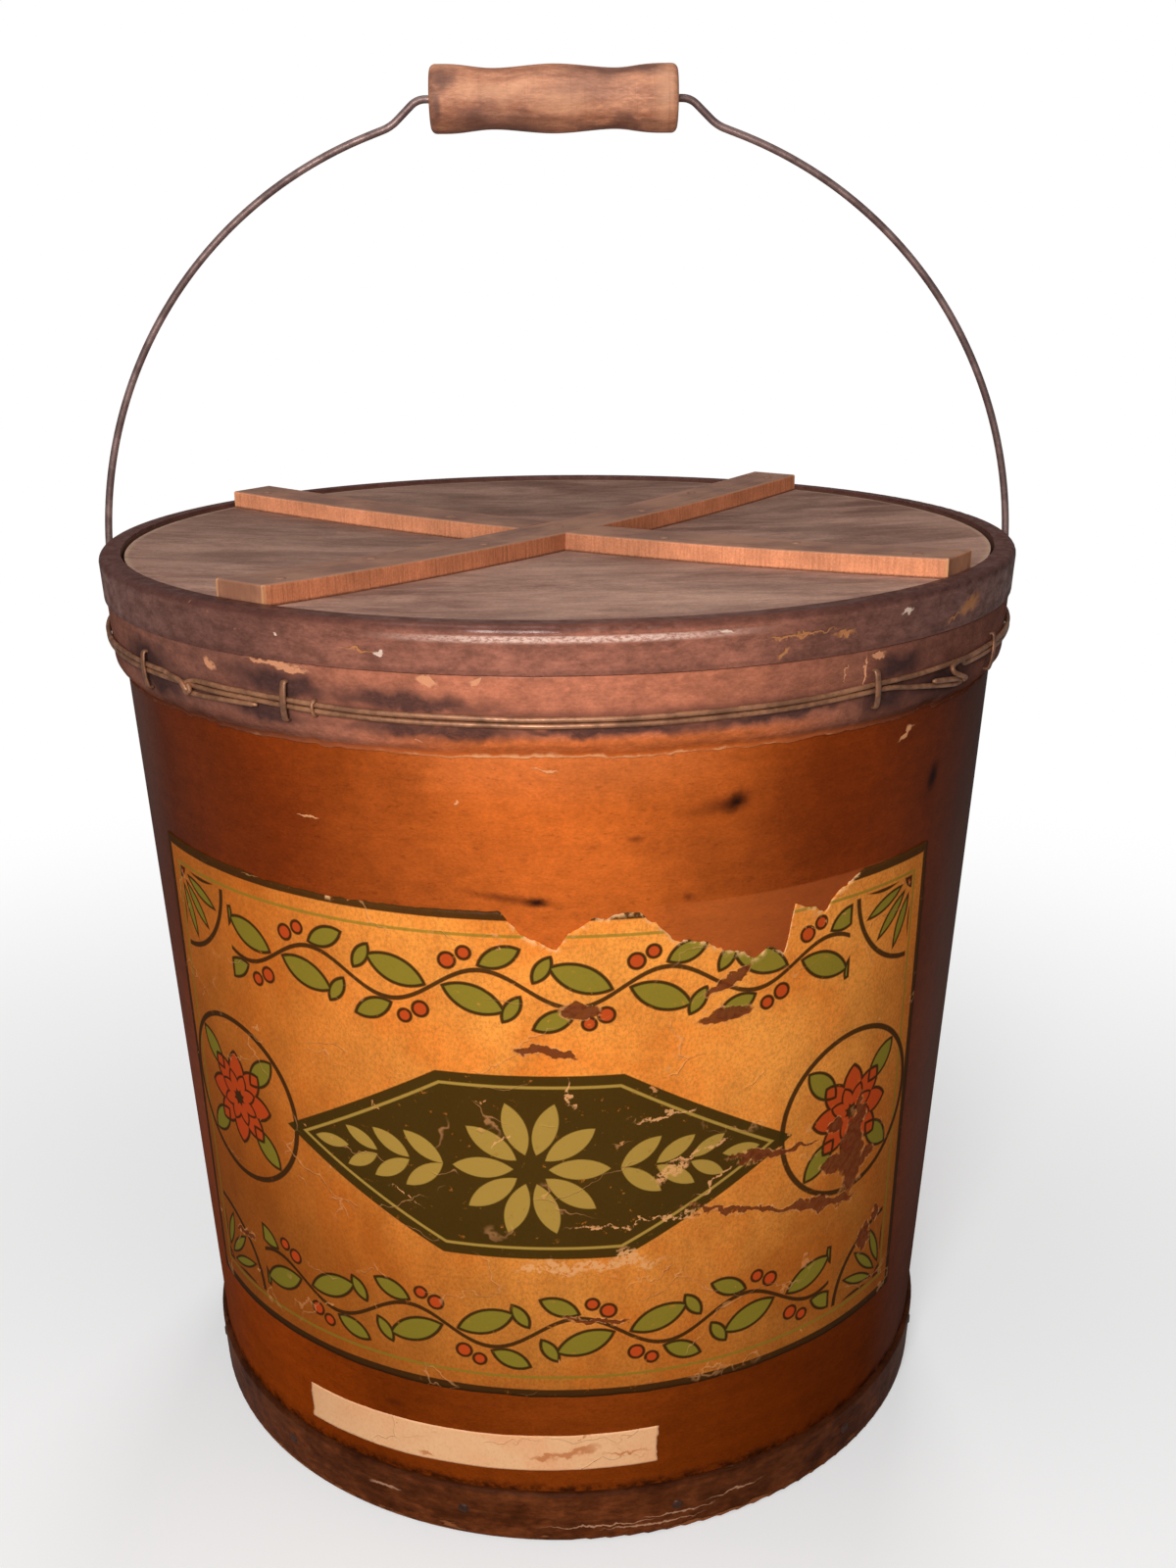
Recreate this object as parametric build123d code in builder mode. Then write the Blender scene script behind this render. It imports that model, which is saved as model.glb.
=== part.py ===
from build123d import *

import os
from math import asin, atan, cos, degrees, hypot, radians, sin, sqrt

# A bent-wood pail with a drop-in lid, a wire bail and a turned grip.
# The origin is on the floor at the pail's centre, +Z is up and -Y is the front. The bail swings
# about an axis along X. Lengths are millimetres, angles are degrees, and a name that ends in
# share or shares is a ratio.

# The wall: one sheet of wood, bent round and tapering to the floor
pail_height = 320.0
wall_bottom_radius = 137.3
wall_top_radius = 155.5
wall_thickness = 3.2
seam_groove_width = 0.6
seam_groove_depth = 0.5
seam_lap_length = 34.0
# What is glued or driven on stands off the wall by this much
wall_seat_gap = 0.05

# The bottom board and the hoop at the foot
bottom_recess = 6.0
bottom_thickness = 10.0
bottom_hoop_height = 20.0
bottom_hoop_thickness = 2.0
bottom_hoop_rounding_share = 0.65
bottom_nail_count = 12
bottom_nail_length = 18.0

# The hoop, binding and tape at the rim
binding_thickness = 1.2
binding_height = 14.0
binding_fold_rounding = 1.2
top_hoop_thickness = 2.8
top_hoop_height = 37.0
tape_thickness = 0.5
tape_gap = 0.3
tape_bridge_height = 4.0
tape_foot_height = 1.6

# The binding wire round the top hoop, and its staples
hoop_wire_diameter = 1.5
hoop_wire_gap = 0.2
hoop_wire_setdown = 4.95
hoop_wire_tail_share = 0.96
hoop_wire_tail_angle = 7.0
upper_joint_angle = -134.0
lower_joint_angle = -42.0
staple_angles = (-142.5, -119.5, -55.5, -31.5, 31.5, 55.5, 119.5, 142.5)
staple_wire_diameter = 1.1
staple_height = 13.0
staple_corner_radius = 1.0

# The inner hoop that carries the lid
ledge_height = 22.0
ledge_thickness = 4.0
ledge_tack_count = 12

# Nails and tacks
nail_shank_diameter = 1.6
nail_head_diameter = 3.8
nail_head_height = 0.4
tack_shank_diameter = 1.4
tack_head_diameter = 4.0
tack_head_height = 0.7
head_crown_share = 0.7
tip_margin = 0.4
seam_tack_spacing = 24.0
seam_tack_end_margin = 14.0

# The lid: a round board that has sunk a little in the middle, with two crossed battens
lid_drop = 1.5
lid_thickness = 8.0
lid_clearance = 1.2
lid_seat_gap = 0.45
lid_sag = 3.6
batten_width = 20.0
batten_thickness = 6.5
batten_edge_rounding = 0.7
batten_end_inset = 0.4
batten_lap_clearance = 0.1
batten_over_angle = 52.0
batten_under_angle = -34.0
batten_nail_tip_margin = 2.0
batten_nail_spacing = 46.0
batten_nail_stagger_share = 0.2

# The bail: round wire, with its ends through the rim
bail_wire_diameter = 2.6
bail_axis_drop = 21.8
bail_hole_clearance = 0.4
bail_rim_clearance = 0.5
bail_end_bend_radius = 3.2
bail_arc_radius = 151.0
bail_arc_drop = 9.6
shoulder_reach = 21.0
shoulder_straight = 8.0
shoulder_rise = 8.5
shoulder_run = 9.0
shoulder_lower_radius = 14.0
shoulder_upper_radius = 7.0
bail_head_overhang = 1.2
bail_head_height = 1.0
washer_overhang = 2.7
washer_thickness = 0.8
washer_gap = 0.4

# The grip
grip_length = 82.0
grip_end_diameter = 21.5
grip_waist_diameter = 19.0
grip_waist_share = 0.54
grip_collar_length = 5.0
grip_end_rounding = 2.0
grip_bore_clearance = 0.5

# The paper label and the paper strip below it
paper_thickness = 0.3
label_width = 292.0
label_foot_margin = 39.5
label_head_margin = 42.9
label_angle = -94.3
strip_width = 126.0
strip_height = 14.5
strip_foot_margin = 8.3
strip_angle = -104.0
strip_roll_angle = 1.5
# The label's torn top edge: share of the half width, share of the height below the top
label_tear_shares = (
    (-0.05, 0.0),
    (-0.01, 0.037),
    (0.06, 0.065),
    (0.09, 0.037),
    (0.14, 0.012),
    (0.23, 0.004),
    (0.30, 0.054),
    (0.40, 0.084),
    (0.49, 0.114),
    (0.51, 0.099),
    (0.55, 0.12),
    (0.57, 0.031),
    (0.65, 0.053),
    (0.69, 0.025),
    (0.76, 0.0),
)

# One overrun for every cut
overrun = 5.0


def wall_outer(height):
    """Outer radius of the tapering wall at a height above the floor."""
    return wall_bottom_radius + (wall_top_radius - wall_bottom_radius) * height / pail_height


def wall_inner(height):
    """Inner radius of the wall at a height above the floor."""
    return wall_outer(height) - wall_thickness


def hoop_outer(height):
    """Outer radius of the top hoop, which leans with the wall."""
    return wall_outer(height) + top_hoop_thickness


def tape_outer(height):
    """Outer radius of the tape where it lies on the top hoop."""
    return hoop_outer(height) + tape_thickness


def side_plane(angle, height, radius, roll=0.0):
    """A plane on the pail's side: its normal leaves the leaning wall squarely."""
    turn = radians(angle)
    lean = radians(wall_lean)
    outward = Vector(cos(turn) * cos(lean), sin(turn) * cos(lean), -sin(lean))
    along = Vector(-sin(turn), cos(turn), 0).rotate(Axis((0, 0, 0), outward), roll)
    return Plane(origin=(radius * cos(turn), radius * sin(turn), height), x_dir=along, z_dir=outward)


# The wall's lean from upright
wall_lean = degrees(atan((wall_top_radius - wall_bottom_radius) / pail_height))

# Heights at the rim, from the top down
wood_top = pail_height - binding_thickness
binding_foot = pail_height - binding_height
tape_top = binding_foot - tape_gap
bail_axis_height = pail_height - bail_axis_drop
hoop_wire_height = bail_axis_height - hoop_wire_setdown
top_hoop_foot = pail_height - top_hoop_height
tape_landing = top_hoop_foot - tape_bridge_height
tape_foot = tape_landing - tape_foot_height

# Heights of the lid and of the ledge under it
lid_edge_top = pail_height - lid_drop
lid_edge_foot = lid_edge_top - lid_thickness
ledge_top = lid_edge_foot - lid_seat_gap
ledge_foot = ledge_top - ledge_height
bottom_board_top = bottom_recess + bottom_thickness

os.makedirs("parts", exist_ok=True)

# The holes through which the ends of the bail pass
with BuildPart() as bail_holes:
    with BuildSketch(Plane.YZ):
        with Locations((0, bail_axis_height)):
            Circle(bail_wire_diameter / 2 + bail_hole_clearance)
    extrude(amount=wall_top_radius + overrun, both=True)

# The wall, with the line of its thinned lap down the back, outside and inside
groove_foot = -overrun
groove_top = pail_height + overrun
with BuildPart() as body_wall:
    with BuildSketch(Plane.XZ):
        with BuildLine():
            Polyline(
                (wall_inner(0), 0),
                (wall_outer(0), 0),
                (wall_outer(wood_top), wood_top),
                (wall_inner(wood_top), wood_top),
                close=True,
            )
        make_face()
    revolve(axis=Axis.Z)
    with BuildSketch(Plane.YZ):
        with BuildLine():
            Polyline(
                (wall_outer(groove_foot) - seam_groove_depth, groove_foot),
                (wall_outer(groove_foot) + overrun, groove_foot),
                (wall_outer(groove_top) + overrun, groove_top),
                (wall_outer(groove_top) - seam_groove_depth, groove_top),
                close=True,
            )
        make_face()
    extrude(amount=seam_groove_width / 2, both=True, mode=Mode.SUBTRACT)
    with BuildSketch(Plane.YZ.rotated((0, 0, degrees(seam_lap_length / wall_top_radius)))):
        with BuildLine():
            Polyline(
                (wall_inner(groove_foot) - overrun, groove_foot),
                (wall_inner(groove_foot) + seam_groove_depth, groove_foot),
                (wall_inner(groove_top) + seam_groove_depth, groove_top),
                (wall_inner(groove_top) - overrun, groove_top),
                close=True,
            )
        make_face()
    extrude(amount=seam_groove_width / 2, both=True, mode=Mode.SUBTRACT)
    add(bail_holes.part, mode=Mode.SUBTRACT)
body_wall.part.label = "body_wall"
export_step(body_wall.part, "parts/body_wall.step")

# The round bottom, its edge leaning with the wall
with BuildPart() as bottom_board:
    with BuildSketch(Plane.XZ):
        with BuildLine():
            Polyline(
                (0, bottom_recess),
                (wall_inner(bottom_recess), bottom_recess),
                (wall_inner(bottom_board_top), bottom_board_top),
                (0, bottom_board_top),
                close=True,
            )
        make_face()
    revolve(axis=Axis.Z)
bottom_board.part.label = "bottom_board"
export_step(bottom_board.part, "parts/bottom_board.step")

# The hoop round the foot, both outer corners rounded
bottom_hoop_foot = (wall_outer(0) + bottom_hoop_thickness, 0)
bottom_hoop_head = (wall_outer(bottom_hoop_height) + bottom_hoop_thickness, bottom_hoop_height)
with BuildPart() as bottom_hoop:
    with BuildSketch(Plane.XZ) as bottom_hoop_section:
        with BuildLine():
            Polyline(
                (wall_outer(0) + wall_seat_gap, 0),
                bottom_hoop_foot,
                bottom_hoop_head,
                (wall_outer(bottom_hoop_height) + wall_seat_gap, bottom_hoop_height),
                close=True,
            )
        make_face()
        bottom_hoop_corners = [
            bottom_hoop_section.vertices().sort_by_distance(corner)[0]
            for corner in (bottom_hoop_foot, bottom_hoop_head)
        ]
        fillet(bottom_hoop_corners, bottom_hoop_thickness * bottom_hoop_rounding_share)
    revolve(axis=Axis.Z)
bottom_hoop.part.label = "bottom_hoop"
export_step(bottom_hoop.part, "parts/bottom_hoop.step")

# The broad hoop under the rim
top_hoop_shoulder = (hoop_outer(wood_top), wood_top)
with BuildPart() as top_hoop:
    with BuildSketch(Plane.XZ) as top_hoop_section:
        with BuildLine():
            Polyline(
                (wall_outer(top_hoop_foot), top_hoop_foot),
                (hoop_outer(top_hoop_foot), top_hoop_foot),
                top_hoop_shoulder,
                (wall_outer(wood_top), wood_top),
                close=True,
            )
        make_face()
        fillet(top_hoop_section.vertices().sort_by_distance(top_hoop_shoulder)[0], binding_fold_rounding)
    revolve(axis=Axis.Z)
    add(bail_holes.part, mode=Mode.SUBTRACT)
top_hoop.part.label = "top_hoop"
export_step(top_hoop.part, "parts/top_hoop.step")

# The strip folded over the rim: across its top and down its outside
binding_shoulder = (hoop_outer(pail_height) + binding_thickness, pail_height)
with BuildPart() as rim_binding:
    with BuildSketch(Plane.XZ) as binding_section:
        with BuildLine():
            Polyline(
                (wall_inner(wood_top), wood_top),
                top_hoop_shoulder,
                (hoop_outer(binding_foot), binding_foot),
                (hoop_outer(binding_foot) + binding_thickness, binding_foot),
                binding_shoulder,
                (wall_inner(wood_top), pail_height),
                close=True,
            )
        make_face()
        inner_fold = binding_section.vertices().sort_by_distance(top_hoop_shoulder)[0]
        fillet(inner_fold, binding_fold_rounding)
        outer_fold = binding_section.vertices().sort_by_distance(binding_shoulder)[0]
        fillet(outer_fold, binding_fold_rounding + binding_thickness)
    revolve(axis=Axis.Z)
rim_binding.part.label = "rim_binding"
export_step(rim_binding.part, "parts/rim_binding.step")

# The tape: down the hoop, across its lower corner and onto the wall
with BuildPart() as hoop_tape:
    with BuildSketch(Plane.XZ):
        with BuildLine():
            Polyline(
                (hoop_outer(tape_top), tape_top),
                (tape_outer(tape_top), tape_top),
                (tape_outer(top_hoop_foot), top_hoop_foot),
                (wall_outer(tape_landing) + tape_thickness, tape_landing),
                (wall_outer(tape_foot) + tape_thickness, tape_foot),
                (wall_outer(tape_foot), tape_foot),
                (wall_outer(tape_landing), tape_landing),
                (hoop_outer(top_hoop_foot), top_hoop_foot),
                close=True,
            )
        make_face()
    revolve(axis=Axis.Z)
    add(bail_holes.part, mode=Mode.SUBTRACT)
hoop_tape.part.label = "hoop_tape"
export_step(hoop_tape.part, "parts/hoop_tape.step")

# The inner hoop on which the lid rests
with BuildPart() as lid_ledge:
    with BuildSketch(Plane.XZ):
        with BuildLine():
            Polyline(
                (wall_inner(ledge_foot) - ledge_thickness, ledge_foot),
                (wall_inner(ledge_foot), ledge_foot),
                (wall_inner(ledge_top), ledge_top),
                (wall_inner(ledge_top) - ledge_thickness, ledge_top),
                close=True,
            )
        make_face()
    revolve(axis=Axis.Z)
    add(bail_holes.part, mode=Mode.SUBTRACT)
lid_ledge.part.label = "lid_ledge"
export_step(lid_ledge.part, "parts/lid_ledge.step")


def nail(length, shank_diameter, head_diameter, head_height):
    """A nail along -Z, with its head standing on the plane of the origin."""
    with BuildPart() as one_nail:
        Cylinder(shank_diameter / 2, length, align=(Align.CENTER, Align.CENTER, Align.MAX))
        Cone(
            head_diameter / 2,
            head_diameter * head_crown_share / 2,
            head_height,
            align=(Align.CENTER, Align.CENTER, Align.MIN),
        )
    return one_nail.part


# Nails through the foot's hoop and the wall into the edge of the bottom board
bottom_nail = nail(bottom_nail_length, nail_shank_diameter, nail_head_diameter, nail_head_height)
bottom_nail_height = bottom_recess + bottom_thickness / 2
bottom_nail_radius = wall_outer(bottom_nail_height) + bottom_hoop_thickness
with BuildPart() as bottom_nails:
    for index in range(bottom_nail_count):
        nail_angle = 360 * (index + 1 / 2) / bottom_nail_count
        with Locations(side_plane(nail_angle, bottom_nail_height, bottom_nail_radius)):
            add(bottom_nail)
bottom_nails.part.label = "bottom_nails"
export_step(bottom_nails.part, "parts/bottom_nails.step")

# Tacks down the lap at the back, their heads outside
seam_tack = nail(wall_thickness - tip_margin, tack_shank_diameter, tack_head_diameter, tack_head_height)
seam_tack_foot = bottom_hoop_height + seam_tack_end_margin
seam_tack_run = tape_foot - seam_tack_end_margin - seam_tack_foot
seam_tack_count = int(seam_tack_run / seam_tack_spacing) + 1
with BuildPart() as seam_tacks:
    for index in range(seam_tack_count):
        tack_height = seam_tack_foot + index * seam_tack_spacing
        tack_angle = 90 + degrees(seam_lap_length / 4 / wall_outer(tack_height))
        with Locations(side_plane(tack_angle, tack_height, wall_outer(tack_height))):
            add(seam_tack)
seam_tacks.part.label = "seam_tacks"
export_step(seam_tacks.part, "parts/seam_tacks.step")

# Tacks from inside, through the ledge into the wall
ledge_tack_length = ledge_thickness + wall_thickness - tip_margin
ledge_tack = nail(ledge_tack_length, tack_shank_diameter, tack_head_diameter, tack_head_height)
ledge_tack_height = (ledge_foot + ledge_top) / 2
ledge_tack_radius = wall_inner(ledge_tack_height) - ledge_thickness
with BuildPart() as ledge_tacks:
    for index in range(ledge_tack_count):
        tack_angle = 360 * (index + 1 / 2) / ledge_tack_count
        outward = side_plane(tack_angle, ledge_tack_height, ledge_tack_radius)
        with Locations(Plane(origin=outward.origin, x_dir=outward.x_dir, z_dir=-outward.z_dir)):
            add(ledge_tack)
ledge_tacks.part.label = "ledge_tacks"
export_step(ledge_tacks.part, "parts/ledge_tacks.step")


def wire_hoop(height, joint_angle, tail_side):
    """A wire round the tape, hooked on itself, with its end folded back above or below."""
    wire_radius = hoop_wire_diameter / 2
    standoff = wire_radius / cos(radians(wall_lean))
    tail_height = height + tail_side * hoop_wire_diameter * hoop_wire_tail_share
    with BuildPart() as hooped_wire:
        with BuildSketch(Plane.XZ):
            with Locations((tape_outer(height) + standoff, height)):
                Circle(wire_radius)
        revolve(axis=Axis.Z)
        with BuildSketch(Plane.XZ.rotated((0, 0, joint_angle))):
            with Locations((tape_outer(tail_height) + standoff, tail_height)):
                Circle(wire_radius)
        revolve(axis=Axis.Z, revolution_arc=hoop_wire_tail_angle)
    return hooped_wire


# The binding wire: two strands, each joined with a hook of its own
hoop_wire_pitch = hoop_wire_diameter + hoop_wire_gap
hoop_wire_upper = wire_hoop(hoop_wire_height + hoop_wire_pitch / 2, upper_joint_angle, 1)
hoop_wire_upper.part.label = "hoop_wire_upper"
export_step(hoop_wire_upper.part, "parts/hoop_wire_upper.step")

hoop_wire_lower = wire_hoop(hoop_wire_height - hoop_wire_pitch / 2, lower_joint_angle, -1)
hoop_wire_lower.part.label = "hoop_wire_lower"
export_step(hoop_wire_lower.part, "parts/hoop_wire_lower.step")

# Staples that straddle both strands, their legs driven through tape and hoop into the wall
staple_standoff = hoop_wire_diameter + staple_wire_diameter / 2
staple_leg_length = tape_thickness + top_hoop_thickness + wall_thickness - tip_margin
with BuildPart() as wire_staples:
    for staple_angle in staple_angles:
        staple_plane = side_plane(staple_angle, hoop_wire_height, tape_outer(hoop_wire_height), 90)
        with BuildLine(staple_plane) as staple_line:
            FilletPolyline(
                (-staple_height / 2, 0, -staple_leg_length),
                (-staple_height / 2, 0, staple_standoff),
                (staple_height / 2, 0, staple_standoff),
                (staple_height / 2, 0, -staple_leg_length),
                radius=staple_corner_radius,
            )
        staple_path = staple_line.wires()[0]
        with BuildSketch(Plane(origin=staple_path @ 0, z_dir=staple_path % 0)):
            Circle(staple_wire_diameter / 2)
        sweep(path=staple_path)
wire_staples.part.label = "wire_staples"
export_step(wire_staples.part, "parts/wire_staples.step")


def paper_sheet(foot, tall, wide, angle, roll, top_shares=()):
    """A sheet of paper wrapped on the wall; top_shares are points of a torn top edge."""
    middle = foot + tall / 2
    shell_foot = foot - overrun
    shell_top = foot + tall + overrun
    face_standoff = wall_seat_gap + paper_thickness

    def across(share, height):
        """How far to the side a share of the half width comes to lie once it is wrapped."""
        return wall_outer(height) * sin(share * wide / 2 / wall_outer(height))

    top_edge = [(across(share, foot + tall), tall / 2 - depth * tall) for share, depth in top_shares]
    with BuildPart() as sheet:
        with BuildSketch(Plane.XZ):
            with BuildLine():
                Polyline(
                    (wall_outer(shell_foot) + wall_seat_gap, shell_foot),
                    (wall_outer(shell_foot) + face_standoff, shell_foot),
                    (wall_outer(shell_top) + face_standoff, shell_top),
                    (wall_outer(shell_top) + wall_seat_gap, shell_top),
                    close=True,
                )
            make_face()
        revolve(axis=Axis.Z)
        with BuildSketch(side_plane(angle, middle, wall_outer(middle), roll)):
            with BuildLine():
                Polyline(
                    (across(-1, foot), -tall / 2),
                    (across(-1, foot + tall), tall / 2),
                    *top_edge,
                    (across(1, foot + tall), tall / 2),
                    (across(1, foot), -tall / 2),
                    close=True,
                )
            make_face()
        extrude(amount=wall_bottom_radius, both=True, mode=Mode.INTERSECT)
    return sheet


# The paper label, torn along its top, and the plain strip below it
label_foot = bottom_hoop_height + label_foot_margin
label_height = tape_foot - label_head_margin - label_foot
label_sheet = paper_sheet(label_foot, label_height, label_width, label_angle, 0, label_tear_shares)
label_sheet.part.label = "label_sheet"
export_step(label_sheet.part, "parts/label_sheet.step")

strip_foot = bottom_hoop_height + strip_foot_margin
paper_strip = paper_sheet(strip_foot, strip_height, strip_width, strip_angle, strip_roll_angle)
paper_strip.part.label = "paper_strip"
export_step(paper_strip.part, "parts/paper_strip.step")

# The sunk face of the lid is part of a large sphere whose centre is above the pail
lid_top_radius = wall_inner(lid_edge_top) - lid_clearance
lid_foot_radius = wall_inner(lid_edge_foot) - lid_clearance
lid_sphere_radius = (lid_top_radius**2 + lid_sag**2) / (2 * lid_sag)
lid_sphere_height = lid_edge_top - lid_sag + lid_sphere_radius
lid_reach = lid_top_radius + overrun


def dished_layer(low, high):
    """A sunk round layer between two heights above the face of the lid, square to that face."""
    low_radius = lid_sphere_radius - low
    high_radius = lid_sphere_radius - high
    with BuildPart() as layer:
        with BuildSketch(Plane.XZ):
            with BuildLine():
                low_turn = degrees(asin(lid_reach / low_radius))
                high_turn = degrees(asin(lid_reach / high_radius))
                low_arc = JernArc((0, lid_sphere_height - low_radius), (1, 0), low_radius, low_turn)
                high_arc = JernArc((0, lid_sphere_height - high_radius), (1, 0), high_radius, high_turn)
                Line(low_arc @ 0, high_arc @ 0)
                Line(low_arc @ 1, high_arc @ 1)
            make_face()
        revolve(axis=Axis.Z)
    return layer.part


# The lid's round board: its two faces are sunk alike, and its edge leans with the wall
lid_layer = dished_layer(-lid_thickness, 0)
with BuildPart() as lid_board:
    with BuildSketch(Plane.XZ):
        with BuildLine():
            Polyline(
                (0, ledge_foot),
                (wall_inner(ledge_foot) - lid_clearance, ledge_foot),
                (wall_inner(pail_height) - lid_clearance, pail_height),
                (0, pail_height),
                close=True,
            )
        make_face()
    revolve(axis=Axis.Z)
    add(lid_layer, mode=Mode.INTERSECT)
lid_board.part.label = "lid_board"
export_step(lid_board.part, "parts/lid_board.step")

# The battens follow the lid's curve, and are halved into each other where they cross
batten_length = 2 * (sqrt(lid_top_radius**2 - (batten_width / 2) ** 2) - batten_end_inset)
batten_layer = dished_layer(0, batten_thickness)
lower_half_layer = dished_layer(-overrun, batten_thickness / 2)
upper_half_layer = dished_layer(batten_thickness / 2, batten_thickness + overrun)


def batten(angle, other_angle, halved_layer):
    """A batten across the lid, cut away in the halved layer where the other one crosses."""
    with BuildPart() as notch:
        with BuildSketch(Plane.XY.offset(ledge_foot).rotated((0, 0, other_angle))):
            Rectangle(batten_length, batten_width + 2 * batten_lap_clearance)
        extrude(amount=pail_height)
        add(halved_layer, mode=Mode.INTERSECT)
    with BuildPart() as bar:
        with BuildSketch(Plane.XY.offset(ledge_foot).rotated((0, 0, angle))):
            Rectangle(batten_length, batten_width)
        extrude(amount=pail_height)
        add(batten_layer, mode=Mode.INTERSECT)
        bar_top = bar.faces().filter_by(GeomType.SPHERE).sort_by(Axis.Z)[-1]
        fillet(bar_top.edges(), batten_edge_rounding)
        add(notch.part, mode=Mode.SUBTRACT)
    return bar


lid_batten_over = batten(batten_over_angle, batten_under_angle, lower_half_layer)
lid_batten_over.part.label = "lid_batten_over"
export_step(lid_batten_over.part, "parts/lid_batten_over.step")

lid_batten_under = batten(batten_under_angle, batten_over_angle, upper_half_layer)
lid_batten_under.part.label = "lid_batten_under"
export_step(lid_batten_under.part, "parts/lid_batten_under.step")


def batten_top(reach):
    """Height of a batten's top face at a distance from the middle of the lid."""
    return lid_sphere_height - sqrt((lid_sphere_radius - batten_thickness) ** 2 - reach**2)


# Nails in a staggered row along each batten, and one through the middle of the crossing
batten_nail_length = batten_thickness + lid_thickness - batten_nail_tip_margin
batten_nail = nail(batten_nail_length, nail_shank_diameter, nail_head_diameter, nail_head_height)
batten_nail_count = int(batten_length / 2 / batten_nail_spacing)
with BuildPart() as batten_nails:
    with Locations((0, 0, batten_top(0))):
        add(batten_nail)
    for batten_angle in (batten_over_angle, batten_under_angle):
        turn = radians(batten_angle)
        for index in range(1, batten_nail_count + 1):
            for side in (-1, 1):
                along = side * index * batten_nail_spacing
                aside = batten_width * batten_nail_stagger_share * (-1) ** index
                nail_x = along * cos(turn) - aside * sin(turn)
                nail_y = along * sin(turn) + aside * cos(turn)
                with Locations((nail_x, nail_y, batten_top(hypot(along, aside)))):
                    add(batten_nail)
batten_nails.part.label = "batten_nails"
export_step(batten_nails.part, "parts/batten_nails.step")

# The bail lies in the plane y = 0: its right half is drawn, then mirrored. From the hole in the
# rim the wire turns up, follows a wide arc and sets back at a shoulder to the grip
bail_leg_x = hoop_outer(pail_height) + binding_thickness + bail_rim_clearance + bail_wire_diameter / 2
bail_arc_x = bail_leg_x - bail_arc_radius
bail_arc_z = pail_height - bail_arc_drop
shoulder_half_width = grip_length / 2 + shoulder_reach
shoulder_turn = asin((shoulder_half_width - bail_arc_x) / bail_arc_radius)
shoulder_z = bail_arc_z + bail_arc_radius * cos(shoulder_turn)
lower_bend_x = shoulder_half_width - shoulder_straight * cos(shoulder_turn)
lower_bend_z = shoulder_z + shoulder_straight * sin(shoulder_turn)
upper_bend_x = lower_bend_x - shoulder_run
grip_axis_z = lower_bend_z + shoulder_rise
washer_outer_x = wall_inner(bail_axis_height) - ledge_thickness - washer_gap
washer_inner_x = washer_outer_x - washer_thickness
bail_end_x = washer_inner_x - bail_head_height

with BuildPart() as bail_wire:
    with BuildLine(Plane.XZ) as bail_line:
        FilletPolyline(
            (0, grip_axis_z),
            (upper_bend_x, grip_axis_z),
            (lower_bend_x, lower_bend_z),
            (shoulder_half_width, shoulder_z),
            radius=[shoulder_upper_radius, shoulder_lower_radius],
        )
        CenterArc((bail_arc_x, bail_arc_z), bail_arc_radius, 0, 90 - degrees(shoulder_turn))
        FilletPolyline(
            (bail_leg_x, bail_arc_z),
            (bail_leg_x, bail_axis_height),
            (bail_end_x, bail_axis_height),
            radius=bail_end_bend_radius,
        )
        mirror(about=Plane.YZ)
    bail_path = bail_line.wires()[0]
    with BuildSketch(Plane(origin=bail_path @ 0, z_dir=bail_path % 0)):
        Circle(bail_wire_diameter / 2)
    sweep(path=bail_path)
    for side in (-1, 1):
        with Locations(Location((side * washer_inner_x, 0, bail_axis_height), (0, 90 * side, 0))):
            Cylinder(
                bail_wire_diameter / 2 + bail_head_overhang,
                bail_head_height,
                align=(Align.CENTER, Align.CENTER, Align.MAX),
            )
bail_wire.part.label = "bail_wire"
export_step(bail_wire.part, "parts/bail_wire.step")

# A washer between each headed end of the wire and the ledge
with BuildPart() as bail_washers:
    for side in (-1, 1):
        with BuildSketch(Plane.YZ.offset(side * washer_inner_x)):
            with Locations((0, bail_axis_height)):
                Circle(bail_wire_diameter / 2 + washer_overhang)
                Circle(bail_wire_diameter / 2, mode=Mode.SUBTRACT)
        extrude(amount=side * washer_thickness)
bail_washers.part.label = "bail_washers"
export_step(bail_washers.part, "parts/bail_washers.step")

# The grip: turned, bored for the wire, with a swelling in the middle and a collar at each end
grip_half_length = grip_length / 2
grip_collar_x = grip_half_length - grip_collar_length
grip_waist_x = grip_half_length * grip_waist_share
grip_bore_radius = bail_wire_diameter / 2 + grip_bore_clearance
grip_end_radius = grip_end_diameter / 2
grip_waist_radius = grip_waist_diameter / 2
with BuildPart() as handle_grip:
    with BuildSketch(Plane.XZ.shift_origin((0, 0, grip_axis_z))) as grip_section:
        with BuildLine():
            swelling = Spline(
                (-grip_collar_x, grip_end_radius),
                (-grip_waist_x, grip_waist_radius),
                (0, grip_end_radius),
                (grip_waist_x, grip_waist_radius),
                (grip_collar_x, grip_end_radius),
                tangents=[(1, 0), (1, 0)],
            )
            Polyline(
                swelling @ 1,
                (grip_half_length, grip_end_radius),
                (grip_half_length, grip_bore_radius),
                (-grip_half_length, grip_bore_radius),
                (-grip_half_length, grip_end_radius),
                swelling @ 0,
            )
        make_face()
        shoulders = grip_section.vertices().group_by(Axis.Y)[-1].sort_by(Axis.X)
        fillet([shoulders[0], shoulders[-1]], grip_end_rounding)
    revolve(axis=Axis((0, 0, grip_axis_z), (1, 0, 0)))
handle_grip.part.label = "handle_grip"
export_step(handle_grip.part, "parts/handle_grip.step")
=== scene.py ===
# %% [markdown]
# # A wooden firkin and how it is dressed
# A firkin is a pail of bent wood: one thin sheet goes round the bottom board, a flat hoop holds
# the foot and a broad hoop stiffens the rim. This file takes the solid pail as it was drawn and
# gives it its varnish, paper, wire, dust and wear. The solid parts stay where they are; some of
# them are covered by finer pieces of the same size.

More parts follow.
